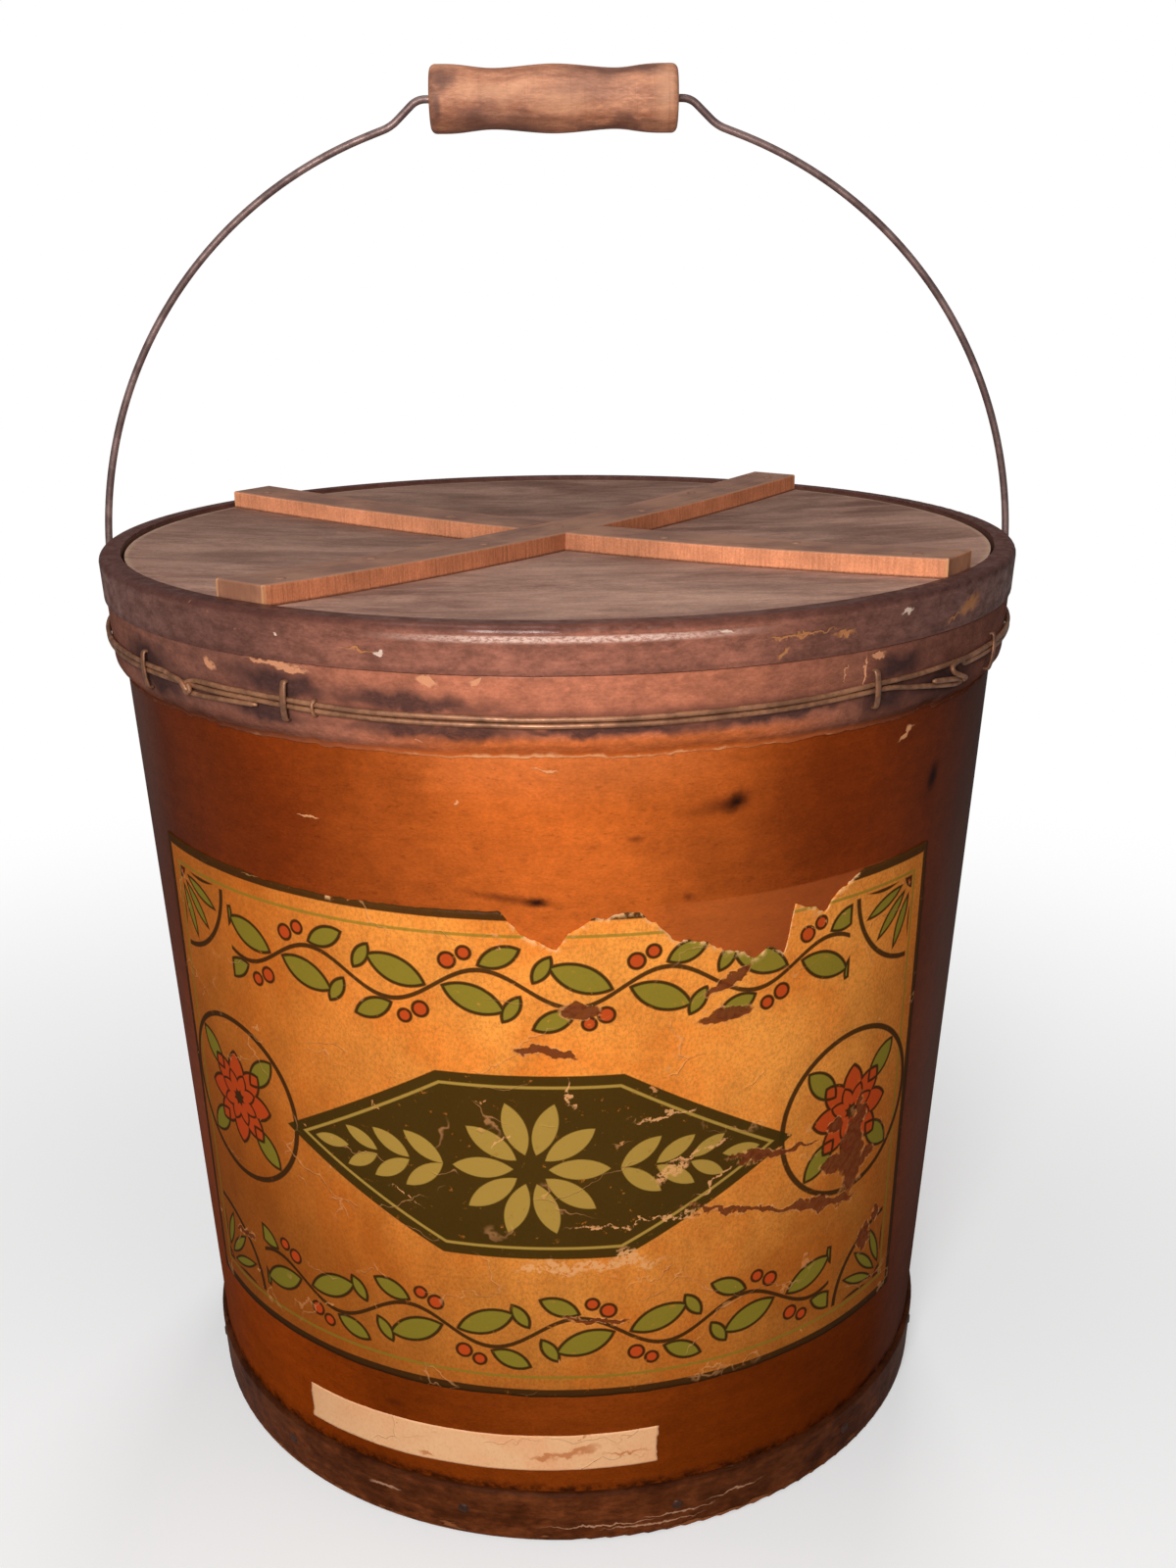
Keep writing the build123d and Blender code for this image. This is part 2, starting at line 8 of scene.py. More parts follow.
# %% Load the solid pail
import math
from functools import reduce

import bpy
from mathutils import Matrix, Vector, noise


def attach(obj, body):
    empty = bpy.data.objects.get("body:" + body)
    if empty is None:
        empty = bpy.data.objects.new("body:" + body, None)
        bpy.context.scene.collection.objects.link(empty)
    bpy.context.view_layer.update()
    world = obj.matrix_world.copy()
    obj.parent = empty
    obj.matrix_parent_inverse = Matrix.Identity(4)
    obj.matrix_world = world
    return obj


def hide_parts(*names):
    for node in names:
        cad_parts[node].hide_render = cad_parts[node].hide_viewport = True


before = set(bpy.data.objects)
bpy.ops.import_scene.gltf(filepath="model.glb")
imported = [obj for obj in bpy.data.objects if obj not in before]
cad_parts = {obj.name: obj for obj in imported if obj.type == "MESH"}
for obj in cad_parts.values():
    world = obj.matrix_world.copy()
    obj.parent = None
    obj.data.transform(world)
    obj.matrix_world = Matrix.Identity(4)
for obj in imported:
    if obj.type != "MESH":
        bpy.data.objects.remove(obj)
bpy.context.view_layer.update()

# %% [markdown]
# ## The camera
# The picture is taken from a little above the rim. A real lens is described by its focal length
# and by where it stands, so the camera gets a place, a turn to the side, a tilt down and a small
# roll. The other way is to aim it at a target, but then the roll is lost.

# %% Camera
camera_data = bpy.data.cameras.new("camera")
camera_data.sensor_width = 36
camera_data.lens = 37.456
camera = bpy.data.objects.new("camera", camera_data)
bpy.context.scene.collection.objects.link(camera)
camera_place = Vector((0, -0.5858, 0.4132))
camera_turn, camera_tilt, camera_roll = (math.radians(a) for a in (0.9575, 17.8826, -0.3894))
camera.matrix_world = (
    Matrix.Translation(camera_place)
    @ Matrix.Rotation(-camera_turn, 4, "Z")
    @ Matrix.Rotation(math.pi / 2 - camera_tilt, 4, "X")
    @ Matrix.Rotation(camera_roll, 4, "Z")
)
bpy.context.scene.camera = camera
print("camera stands", round(camera_place.length, 3), "m from the middle of the floor")

# %% [markdown]
# ## Tools for materials
# A procedural material is a chain of small nodes. Written out one by one such chains are long,
# so a few helpers keep them short. `Field` is a number that changes over the surface: adding or
# multiplying two of them adds a Math node, which lets a shape be written as a formula.

# %% Node helpers
class Field:
    """A value on the surface that can be worked on with + - * / like a number."""

    def __init__(self, nodes, socket):
        self.nodes, self.socket = nodes, socket

    def math(self, operation, *others, clamp=False):
        return self.nodes.value("ShaderNodeMath", (self, *others), operation=operation, use_clamp=clamp)

    def __add__(self, other):
        return self.math("ADD", other)

    def __sub__(self, other):
        return self.math("SUBTRACT", other)

    def __mul__(self, other):
        return self.math("MULTIPLY", other)

    def __truediv__(self, other):
        return self.math("DIVIDE", other)

    def over(self, other):
        """The larger of the two."""
        return self.math("MAXIMUM", other)

    def under(self, other):
        """The smaller of the two."""
        return self.math("MINIMUM", other)

    def size(self):
        """The value without its sign."""
        return self.math("ABSOLUTE")

    def with_(self, other):
        """The length of a step of this much one way and that much the other way."""
        return (self * self + other * other).math("SQRT")

    def ramp(self, low, high, first=0, last=1):
        """Goes smoothly from first to last while the value goes from low to high."""
        feeds = (self, low, high, first, last)
        return self.nodes.value("ShaderNodeMapRange", feeds, interpolation_type="SMOOTHSTEP")


class Nodes:
    """Adds nodes to one material or group, and joins them."""

    def __init__(self, tree):
        self.tree = tree

    def feed(self, socket, value):
        if isinstance(value, Field):
            value = value.socket
        if isinstance(value, bpy.types.NodeSocket):
            self.tree.links.new(value, socket)
        else:
            socket.default_value = value

    def feed_all(self, sockets, feeds):
        """Feeds sockets by name, with _ for a space, or in their order."""
        for name, value in feeds.items() if isinstance(feeds, dict) else enumerate(feeds):
            self.feed(sockets[name.replace("_", " ") if isinstance(name, str) else name], value)

    def add(self, kind, feeds=(), **settings):
        """Adds a node and feeds its inputs."""
        node = self.tree.nodes.new(kind)
        for name, value in settings.items():
            setattr(node, name, value)
        self.feed_all(node.inputs, feeds)
        return node

    def value(self, kind, feeds=(), out=0, **settings):
        """Adds a node and gives back one of its outputs as a Field."""
        return Field(self, self.add(kind, feeds, **settings).outputs[out])

    def place(self):
        """Where a point of the surface is, in the pail's own frame."""
        return self.add("ShaderNodeTexCoord").outputs["Object"]

    def parts(self, vector):
        return [Field(self, out) for out in self.add("ShaderNodeSeparateXYZ", [vector]).outputs]

    def vector(self, x, y, z):
        return self.add("ShaderNodeCombineXYZ", (x, y, z)).outputs[0]

    def stretch(self, vector, factors, shift=(0, 0, 0)):
        feeds = (vector, factors, shift)
        return self.add("ShaderNodeVectorMath", feeds, operation="MULTIPLY_ADD").outputs[0]

    def normal(self):
        """The way the surface faces."""
        return self.add("ShaderNodeNewGeometry").outputs["Normal"]

    def rotated(self, vector, degrees):
        """The vector as it is seen by a part that lies turned on the lid."""
        feeds = {"Vector": vector, "Angle": -math.radians(degrees)}
        return self.add("ShaderNodeVectorRotate", feeds, rotation_type="Z_AXIS").outputs[0]

    def cloud(self, vector, scale, detail=4, rough=0.5, bend=0, along=1):
        """Soft noise from 0 to 1, about 0.5 on the average; a small share along draws it out."""
        if along != 1:
            vector = self.stretch(vector, (along, 1, 1))
        feeds = {"Vector": vector, "Scale": scale, "Detail": detail, "Roughness": rough, "Distortion": bend}
        return self.value("ShaderNodeTexNoise", feeds)

    def mix(self, share, first, second):
        return self.add("ShaderNodeMix", {0: share, 6: first, 7: second}, data_type="RGBA").outputs[2]

    def layers(self, ground, *coats):
        """Lays coats of paint on the ground; each is a share and a colour."""
        for share, colour in coats:
            ground = self.mix(share, ground, colour)
        return ground

    def shade(self, colour, *shares):
        """Darkens or lightens a colour by each share in turn; 1 leaves it as it is."""
        share = shares[0]
        for other in shares[1:]:
            share = share * other
        return self.add("ShaderNodeVectorMath", {0: colour, "Scale": share}, operation="SCALE").outputs[0]

    def use(self, group, **feeds):
        """Places a node group; its outputs come back by name."""
        node = self.add("ShaderNodeGroup", feeds, node_tree=group)
        return {out.name: Field(self, out) for out in node.outputs}


def paint(red, green, blue):
    """A colour as it is read from a screen, 0 to 255, turned into light."""
    light = []
    for value in (red, green, blue):
        share = value / 255
        light.append(share / 12.92 if share <= 0.04045 else ((share + 0.055) / 1.055) ** 2.4)
    return (*light, 1)


def new_group(name, **takes):
    """Starts a node group. Each input has its usual value; None stands for a vector."""
    nodes = Nodes(bpy.data.node_groups.new(name, "ShaderNodeTree"))
    for label, usual in takes.items():
        kind = "NodeSocketVector" if usual is None else "NodeSocketFloat"
        socket = nodes.tree.interface.new_socket(label.replace("_", " "), in_out="INPUT", socket_type=kind)
        if usual is not None:
            socket.default_value = usual
    return nodes, *[Field(nodes, out) for out in nodes.add("NodeGroupInput").outputs if out.name]


def close_group(nodes, **gives):
    """Gives a node group its outputs: numbers, or vectors where they come as plain sockets."""
    for label, value in gives.items():
        kind = "NodeSocketFloat" if isinstance(value, Field) else "NodeSocketVector"
        nodes.tree.interface.new_socket(label, in_out="OUTPUT", socket_type=kind)
    nodes.add("NodeGroupOutput", gives)
    return nodes.tree


def new_material(name):
    """Starts an empty material; close_material gives it its one Principled shader."""
    material = bpy.data.materials.new(name)
    material.use_nodes = True
    material.node_tree.nodes.clear()
    nodes = Nodes(material.node_tree)
    nodes.material = material
    return nodes


def close_material(nodes, height, depth, **feeds):
    """Feeds the shader, lit as if the surface were raised by height, which goes from 0 to 1."""
    bump = nodes.add("ShaderNodeBump", {"Strength": 1, "Distance": depth, "Height": height})
    shader = nodes.add("ShaderNodeBsdfPrincipled", {**feeds, "Normal": bump.outputs[0]})
    nodes.add("ShaderNodeOutputMaterial", {"Surface": shader.outputs[0]})
    return nodes.material


print("node helpers ready")

# %% [markdown]
# ## Light and floor
# The picture has a plain white ground and one soft main light, near the camera and a little to
# its left. One large lamp there gives the pail its bright front and its darker sides; a broad
# weak lamp above lights the lid, and the world fills the shadows. The floor is white only for
# the camera and in reflections: a really white floor would light the foot of the pail too much.

# %% Lamps, world and floor
scene = bpy.context.scene
scene.view_settings.view_transform = "Standard"


def soft_lamp(name, place, target, width, height, power, in_gloss=True):
    lamp = bpy.data.lights.new(name, "AREA")
    lamp.shape, lamp.size, lamp.size_y, lamp.energy = "RECTANGLE", width, height, power
    lamp_object = bpy.data.objects.new(name, lamp)
    lamp_object.location = place
    lamp_object.rotation_euler = (Vector(target) - Vector(place)).to_track_quat("-Z", "Y").to_euler()
    lamp_object.visible_glossy = in_gloss
    scene.collection.objects.link(lamp_object)


soft_lamp("main_lamp", (-0.13, -0.86, 0.56), (0, 0, 0.16), 0.3, 0.4, 6.3)
soft_lamp("top_lamp", (-0.1, -0.3, 1.7), (0, 0, 0.3), 1.2, 0.9, 6)
soft_lamp("back_lamp", (0.3, 1.4, 0.5), (0, 0, 0.15), 0.6, 0.6, 13, in_gloss=False)


def seen_plainly(nodes):
    """1 for rays from the camera, and for what shows in gloss or through glass."""
    path = {out.name: Field(nodes, out) for out in nodes.add("ShaderNodeLightPath").outputs}
    seen = path["Is Camera Ray"].over(path["Is Glossy Ray"] * 0.2)
    return seen.over(path["Is Transmission Ray"])


WHITE, NEARLY_WHITE, GREY = (1, 1, 1, 1), (0.95, 0.95, 0.95, 1), (0.25, 0.24, 0.23, 1)
FILL_STRENGTH = 0.16
world = bpy.data.worlds.new("studio")
world.use_nodes = True
world.node_tree.nodes.clear()
sky = Nodes(world.node_tree)
camera_ray = sky.add("ShaderNodeLightPath").outputs["Is Camera Ray"]
fill_sky = sky.add("ShaderNodeBackground", {"Color": WHITE, "Strength": FILL_STRENGTH}).outputs[0]
white_sky = sky.add("ShaderNodeBackground", {"Color": WHITE}).outputs[0]
both_skies = sky.add("ShaderNodeMixShader", (camera_ray, fill_sky, white_sky)).outputs[0]
sky.add("ShaderNodeOutputWorld", {"Surface": both_skies})
scene.world = world

floor_mesh = bpy.data.meshes.new("floor")
floor_mesh.from_pydata([(-4, -4, 0), (4, -4, 0), (4, 4, 0), (-4, 4, 0)], [], [(0, 1, 2, 3)])
floor = bpy.data.objects.new("floor", floor_mesh)
scene.collection.objects.link(floor)
ground = new_material("pale_floor")
across, away, _ = ground.parts(ground.place())
far = across.with_(away).ramp(0.2, 0.75, 0.35, 1)
matt = ground.add("ShaderNodeBsdfDiffuse", {"Color": NEARLY_WHITE}).outputs[0]
glow = ground.add("ShaderNodeEmission").outputs[0]
shown = ground.add("ShaderNodeMixShader", (far, matt, glow)).outputs[0]
dull = ground.add("ShaderNodeBsdfDiffuse", {"Color": GREY}).outputs[0]
floor_choice = ground.add("ShaderNodeMixShader", (seen_plainly(ground), dull, shown)).outputs[0]
ground.add("ShaderNodeOutputMaterial", {"Surface": floor_choice})
floor_mesh.materials.append(ground.material)
print("light and floor ready")

# %% [markdown]
# ## Round the pail
# Wood that is bent round a pail has its grain lying along the bend. So most finishes need to
# know how far round the pail a point is and how high, as if the wall were unrolled. One group
# works that out for every material. The unrolled sheet ends at the back, where the real one
# has its lap.

# %% Group: unrolled wall
MEAN_RADIUS = 0.148
WALL_FOOT_RADIUS, WALL_GROWTH = 0.1373, 0.056875
around = new_group("Round the pail")[0]
x, y, z = around.parts(around.place())
angle, radius = x.math("ARCTAN2", y * -1), x.with_(y)
arc = angle * MEAN_RADIUS
ROUND_THE_PAIL = close_group(
    around, Angle=angle, Arc=arc, Height=z, Radius=radius, Unrolled=around.vector(arc, z, radius)
)
print("unrolled wall: 1 group")

# %% [markdown]
# ## Grain, blotches, chips and dust
# Four effects come back on many pieces. Grain is noise that is drawn out along the wood. Blotches
# are large soft stains. Chips are small flakes with hard, ragged edges, made by cutting noise off
# sharply at a level. Dust lies on what looks up, and thins out in soft patches.

# %% Group: wood grain
grain, vector, scale, length = new_group("Wood grain", Vector=None, Scale=1, Length=12)
x, y, z = grain.parts(vector)
WOOD_GRAIN = close_group(
    grain,
    Streaks=grain.cloud(grain.vector(x / length, y, z), scale * 420, 5, 0.6, 0.4),
    Pores=grain.cloud(grain.vector(x / (length * 0.5), y, z), scale * 1900, 3, 0.6),
    Speckle=grain.cloud(grain.vector(x / 2.2, y, z), scale * 700, 4, 0.65),
)

# %% Group: blotches, chips and dust
wear, vector, blotch_size, chip_size, chip_level = new_group(
    "Blotches and chips", Vector=None, Blotch_size=0.03, Chip_size=0.004, Chip_level=0.68
)
flakes = wear.cloud(vector, chip_size.math("POWER", -1), 5, 0.55, 0.6)
where = wear.cloud(vector, chip_size.math("POWER", -1) * 0.17, 2)
chips = (flakes * 0.62 + where * 0.38 - chip_level) * 60
BLOTCHES = close_group(
    wear,
    Blotches=wear.cloud(vector, blotch_size.math("POWER", -1), 4, 0.55, 0.3),
    Chips=chips.math("ADD", 0.5, clamp=True),
)

dust, vector, patch_size = new_group("Dust", Vector=None, Patch_size=0.05)
patch = dust.cloud(vector, patch_size.math("POWER", -1), 5, 0.6, 0.5)
DUST = close_group(dust, Dust=patch.ramp(0.3, 0.72) * dust.parts(dust.normal())[2].ramp(0.25, 0.9))
print("effects: grain, blotches, chips, dust")

# %% [markdown]
# ## The varnished wall
# The wall is a thin sheet of elm under an orange varnish that has gone brown. The front is a
# clear orange; the sides and the back are a deeper red-brown, partly the varnish's own tone and
# partly painted shade where the light falls off round the pail, and the foot is deeper too. The
# wood below shows as fine speckles along the grain, with a few dark knots.

# %% Helper: single marks
MILLIMETRE = 0.001


def marks(across, up, places, blur=0.3, unit=MILLIMETRE):
    """Single spots at given places, each (across, up, half length, half height, slope)."""
    spots = []
    for *sizes, slope in places:
        middle, level, long, tall = (size * unit for size in sizes)
        aside = across - middle
        lifted = up - level - aside * slope if slope else up - level
        spots.append((aside / long).with_(lifted / tall).ramp(1 + blur, 1 - blur))
    return reduce(Field.over, spots)


def shaken(nodes, vector, scale, reach, seed=0):
    """A coordinate with ragged noise added, so that marks get uneven edges."""
    moved = nodes.stretch(vector, (1, 1, 1), (seed, seed, 0))
    ragged_noise = nodes.add("ShaderNodeTexNoise", {"Vector": moved, "Scale": scale, "Detail": 4})
    offset = nodes.stretch(ragged_noise.outputs["Color"], (reach, reach, reach), vector)
    centred = nodes.add("ShaderNodeVectorMath", (offset, (reach / 2,) * 3), operation="SUBTRACT")
    return nodes.parts(centred.outputs[0])


# %% Material: varnished wood
nodes = new_material("varnished_wood")
angle, arc, height, radius, unrolled = nodes.use(ROUND_THE_PAIL).values()
wood = nodes.use(WOOD_GRAIN, Vector=unrolled, Scale=1, Length=7)
spots = nodes.use(BLOTCHES, Vector=unrolled, Blotch_size=0.03, Chip_size=0.006, Chip_level=0.74)
mottle = nodes.cloud(unrolled, 300, 6, 0.68, along=0.7)
streaks = nodes.cloud(unrolled, 210, 5, 0.65, along=0.1)
fine = nodes.cloud(unrolled, 1500, 4, 0.7, along=0.6)
side = angle.size() + spots["Blotches"] * 0.16 - 0.08
tone = nodes.layers(
    paint(211, 103, 37),
    # painted highlight: a paler orange band along the top of the front
    (side.ramp(0.45, 0.1) * height.ramp(0.262, 0.282, 0, 0.4), paint(224, 128, 72)),
    # the sides and back are darker, partly the varnish's own tone and partly painted shade where the light
    # falls off
    (side.ramp(0, 0.62), paint(128, 50, 11)),
    (side.ramp(0.55, 1.2) * height.ramp(0, 0.26, 0.35, 1), paint(88, 39, 21)),
    (height.ramp(0.275, 0.02, 0, 0.85), paint(124, 50, 4)),
)
tone = nodes.shade(
    tone, mottle.ramp(0.28, 0.72, 0.9, 1.1), fine.ramp(0.3, 0.7, 0.88, 1.12),
    streaks.ramp(0.3, 0.7, 0.94, 1.05), spots["Blotches"].ramp(0.35, 0.7, 1.04, 0.87),
    # painted shade: a little darker going down from the rim
    height.ramp(0.285, 0.22, 1, 0.93),
    # painted light: the lower left side is lighter
    angle.ramp(-0.4, -0.85) * angle.ramp(-2.2, -1.3) * height.ramp(0.24, 0.12) * 0.7 + 1,
    # painted shade: the lower right, near the foot, is darker
    angle.ramp(0.1, 0.4) * angle.ramp(2.2, 1.2) * height.ramp(0.1, 0.05) * -0.18 + 1,
)
# painted sheen: a greyish reflection on both sides, where the wall turns away
painted_sheen_right = angle.ramp(0.85, 1.15) * angle.ramp(2.6, 1.3, 0.2, 1) * height.ramp(0.27, 0.18, 0.1, 0.38)
painted_sheen_left = angle.ramp(-0.95, -1.2) * angle.ramp(-2.6, -1.3, 0.2, 1) * height.ramp(0.18, 0.28, 0.1, 0.4)
tone = nodes.layers(
    tone,
    (painted_sheen_right.over(painted_sheen_left), paint(132, 98, 88)),
    # painted shade and grime in a dark line just above the foot hoop
    (height.ramp(0.0245, 0.0205, 0, 0.85) * mottle.ramp(0.38, 0.6, 1, 0.25), paint(36, 16, 8)),
    (wood["Speckle"].ramp(0.58, 0.7, 0, 0.3), paint(70, 27, 8)),
)
# the wood is a little paler where the top of the sheet has been torn away
ghost = height.ramp(0.2351, 0.2342) * height.ramp(0.19, 0.2)
ghost = ghost * arc.ramp(0.015, 0.045) * arc.ramp(0.118, 0.1)
tone = nodes.mix(ghost * 0.26, tone, paint(214, 112, 56))
# each knot is a dark eye with a soft tail along the grain
knot_across, knot_up, _ = shaken(nodes, unrolled, 520, 0.0016)
tails = marks(knot_across, knot_up, (
    (45.2, 264.3, 7, 2.2, 0.12), (-14, 237.9, 10.5, 1.1, -0.14), (130, 256, 3.6, 5.2, 0.5),
    (20.4, 256, 1.8, 0.9, 0), (35.9, 236.7, 1.5, 1.1, 0), (-64, 48, 3, 1, 0),
), blur=0.95)
eyes = marks(knot_across, knot_up, (
    (49.2, 264.8, 3, 2.4, 0.3), (-7.5, 237.1, 2.6, 1.2, 0), (130.4, 256.5, 2.2, 3.4, 0.5),
), blur=0.95)
tone = nodes.layers(tone, (tails * 0.6, paint(78, 30, 10)), (eyes * 0.95, paint(26, 10, 6)))
scrape_across, scrape_up, _ = shaken(nodes, unrolled, 420, 0.003)
scraped = marks(scrape_across, scrape_up, (
    (-75.8, 258, 3.8, 0.35, -0.08), (111.8, 275.2, 3.4, 0.7, 0.55), (113, 276.6, 1.6, 1.2, 0),
    (-29.3, 267.1, 0.4, 0.4, 0), (-4.5, 277.5, 3.6, 0.3, -0.2),
))
tone = nodes.mix(scraped * 0.85, tone, paint(236, 164, 112))
inside = (radius - height * WALL_GROWTH).ramp(0.1363, 0.1355)
bare = nodes.layers(
    paint(196, 158, 112),
    (wood["Streaks"], paint(158, 118, 78)),
    (height.ramp(0.304, 0.309), paint(104, 74, 62)),
)
VARNISHED_WOOD = close_material(
    nodes, mottle * 0.6 + wood["Streaks"] * 0.4 + scraped * 0.5, 0.0003,
    Base_Color=nodes.mix(inside, tone, bare), Roughness=mottle.ramp(0.3, 0.7, 0.4, 0.55).over(inside * 0.8),
    Specular_IOR_Level=0,
    Coat_Weight=inside.ramp(0, 1, 0.14, 0) * height.ramp(0.03, 0.14, 0.3, 1), Coat_Roughness=0.3,
)

# %% [markdown]
# ## Bare wood inside
# The bottom board and the ledge were never varnished. They are pale, with long grain, darker in
# the pores.

# %% Material: bare wood
nodes = new_material("bare_wood")
wood = nodes.use(WOOD_GRAIN, Vector=nodes.place(), Scale=0.6, Length=14)
stain = nodes.use(BLOTCHES, Vector=nodes.place(), Blotch_size=0.06, Chip_size=0.004, Chip_level=0.8)
tone = nodes.layers(
    paint(200, 164, 118),
    (wood["Streaks"].ramp(0.35, 0.65), paint(150, 112, 74)),
    (stain["Blotches"].ramp(0.45, 0.8, 0, 0.6), paint(120, 86, 56)),
    (wood["Pores"].ramp(0.55, 0.7, 0, 0.5), paint(96, 66, 42)),
    (nodes.parts(nodes.place())[2].ramp(0.304, 0.308), paint(104, 74, 62)),
)
BARE_WOOD = close_material(
    nodes, wood["Streaks"], 0.0004,
    Base_Color=tone, Roughness=wood["Streaks"].ramp(0, 1, 0.6, 0.85),
)

# %% [markdown]
# ## The hoops
# The foot hoop is stained nearly black and knocked about: along its lower edge the stain has
# chipped off and lighter wood shows. The top hoop is hidden by tape, so it gets plain brown wood.

# %% Material: dark hoop
nodes = new_material("dark_hoop_wood")
angle, _, height, _, unrolled = nodes.use(ROUND_THE_PAIL).values()
wood = nodes.use(WOOD_GRAIN, Vector=unrolled, Scale=0.8, Length=10)
worn = nodes.use(BLOTCHES, Vector=unrolled, Blotch_size=0.02, Chip_size=0.006, Chip_level=0.6)
edge = height.ramp(0.0065, 0, 0, 0.2) + height.ramp(0.0185, 0.02, 0, 0.08)
chipped = (worn["Blotches"] * 0.5 + wood["Streaks"] * 0.5 + edge).ramp(0.68, 0.71)
flaked = nodes.cloud(unrolled, 190, 5, 0.6, along=0.5)
tone = nodes.layers(
    paint(124, 64, 32),
    (worn["Blotches"].ramp(0.3, 0.7), paint(80, 37, 15)),
    (wood["Streaks"].ramp(0.5, 0.75, 0, 0.5), paint(128, 68, 36)),
)
tone = nodes.shade(
    tone, wood["Speckle"].ramp(0.3, 0.7, 1.2, 0.72), flaked.ramp(0.4, 0.6, 0.82, 1.12),
    # painted shade: the hoop is darker towards the right
    angle.ramp(0.1, 0.5, 1, 0.84),
)
tone = nodes.mix(chipped * 0.85, tone, paint(156, 92, 54))
mark_across, mark_up, _ = shaken(nodes, unrolled, 260, 0.004)
scratched = marks(mark_across, mark_up, (
    (10, 6.2, 18, 0.3, 0), (40, 7.5, 12, 0.3, 0.02), (30, 4.5, 16, 0.3, 0), (62, 10.5, 10, 0.3, 0.05),
    (-70, 12, 6, 0.6, 0),
), blur=0.4)
tone = nodes.layers(
    tone,
    (scratched * 0.7, paint(214, 160, 126)),
    # painted shade and dirt along the hoop's top edge, where it meets the wall
    (height.ramp(0.0182, 0.0196, 0, 0.6), paint(40, 18, 10)),
)
DARK_HOOP = close_material(
    nodes, wood["Streaks"] * 0.4 + flaked * 0.8 - chipped * 0.6, 0.0009,
    Base_Color=tone, Roughness=chipped.ramp(0, 1, 0.42, 0.75), Specular_IOR_Level=0.03,
)

# %% Material: top hoop
nodes = new_material("top_hoop_wood")
_, _, _, _, unrolled = nodes.use(ROUND_THE_PAIL).values()
wood = nodes.use(WOOD_GRAIN, Vector=unrolled, Scale=0.8, Length=10)
tone = nodes.mix(wood["Streaks"].ramp(0.35, 0.7), paint(146, 98, 66), paint(104, 66, 42))
TOP_HOOP = close_material(
    nodes, wood["Streaks"], 0.0003,
    Base_Color=tone, Roughness=wood["Streaks"].ramp(0, 1, 0.5, 0.75),
)

# %% [markdown]
# ## The rim binding and the tape
# A dark strip is folded over the rim, and a broad tape runs below it. Both are varnished paper,
# pinkish brown, smooth where they were out of reach and scuffed where hands went. Small flakes
# are gone, and the pale backing shows. The wire has bled blue-black stains into the tape.

# %% Material: rim binding
nodes = new_material("binding")
angle, _, height, _, unrolled = nodes.use(ROUND_THE_PAIL).values()
worn = nodes.use(BLOTCHES, Vector=unrolled, Blotch_size=0.03, Chip_size=0.0035, Chip_level=0.68)
mottle = nodes.cloud(unrolled, 260, 6, 0.72, along=0.7)
fine = nodes.cloud(unrolled, 1300, 4, 0.7, along=0.5)
streaks = nodes.cloud(unrolled, 420, 5, 0.65, along=0.06)
front = angle.size().ramp(0.8, 0.15)
tone = nodes.layers(
    paint(122, 82, 72),
    # painted light: lighter at the front, darker towards the sides
    (front, paint(166, 102, 80)),
    (worn["Blotches"].ramp(0.42, 0.68, 0, 0.45), paint(108, 66, 56)),
)
turn = angle.size()
tone = nodes.shade(
    tone, mottle.ramp(0.28, 0.72, 1.28, 0.68), fine.ramp(0.3, 0.7, 1.14, 0.84),
    # painted shade at the mid sides, and painted sheen with dust towards the far sides
    streaks.ramp(0.3, 0.7, 0.9, 1.1), turn.ramp(0.25, 0.55, 1, 0.82), turn.ramp(0.6, 1, 1, 1.25),
    turn.ramp(0.95, 1.2, 1, 1.2),
)
# painted highlight: a pale line along the front of the fold
fold = height.ramp(0.3146, 0.3158) * height.ramp(0.3174, 0.3166) * (angle - 0.02).size().ramp(0.4, 0.1)
tone = nodes.layers(
    tone,
    (fold * fine.ramp(0.35, 0.6, 0.15, 0.85), paint(244, 204, 186)),
    # painted shade in the gap where the lid meets the binding
    (height.ramp(0.3172, 0.319, 0, 0.62), paint(66, 34, 30)),
    # painted shadow along the foot of the binding, over the tape
    (height.ramp(0.308, 0.3068, 0, 0.3), paint(70, 38, 32)),
    (worn["Chips"] * 0.5, paint(186, 126, 92)),
)
mark_across, mark_up, _ = shaken(nodes, unrolled, 380, 0.005)
scraped = marks(mark_across, mark_up, (
    (134, 312.1, 6, 2.2, 0.2), (125, 309.5, 3.5, 0.5, 0.2), (64, 313.5, 10, 0.4, 0.05),
    (78, 312.2, 3, 0.8, 0), (-52, 311.5, 5.5, 0.4, -0.1), (59, 308.8, 1.4, 0.8, 0.6),
), blur=0.5)
tone = nodes.mix(scraped * 0.75, tone, paint(196, 128, 76))
white_flecks = marks(mark_across, mark_up, (
    (101, 315.3, 2.4, 0.9, 0.1), (42.1, 316.6, 2.4, 0.4, -0.1), (-46.5, 311.2, 1, 0.7, 0.3),
    (-78.5, 313.5, 0.6, 0.6, 0),
))
tone = nodes.mix(white_flecks * 0.85, tone, paint(236, 206, 186))
BINDING = close_material(
    nodes, mottle * 0.6 + fine * 0.3 - scraped * 0.5 - worn["Chips"] * 0.3, 0.0004,
    Base_Color=tone, Roughness=mottle.ramp(0.35, 0.65, 0.36, 0.6), Specular_IOR_Level=0.12,
    Coat_Weight=front.ramp(0, 1, 0.03, 0.5) * mottle.ramp(0.62, 0.4, 0.45, 1), Coat_Roughness=0.14,
)

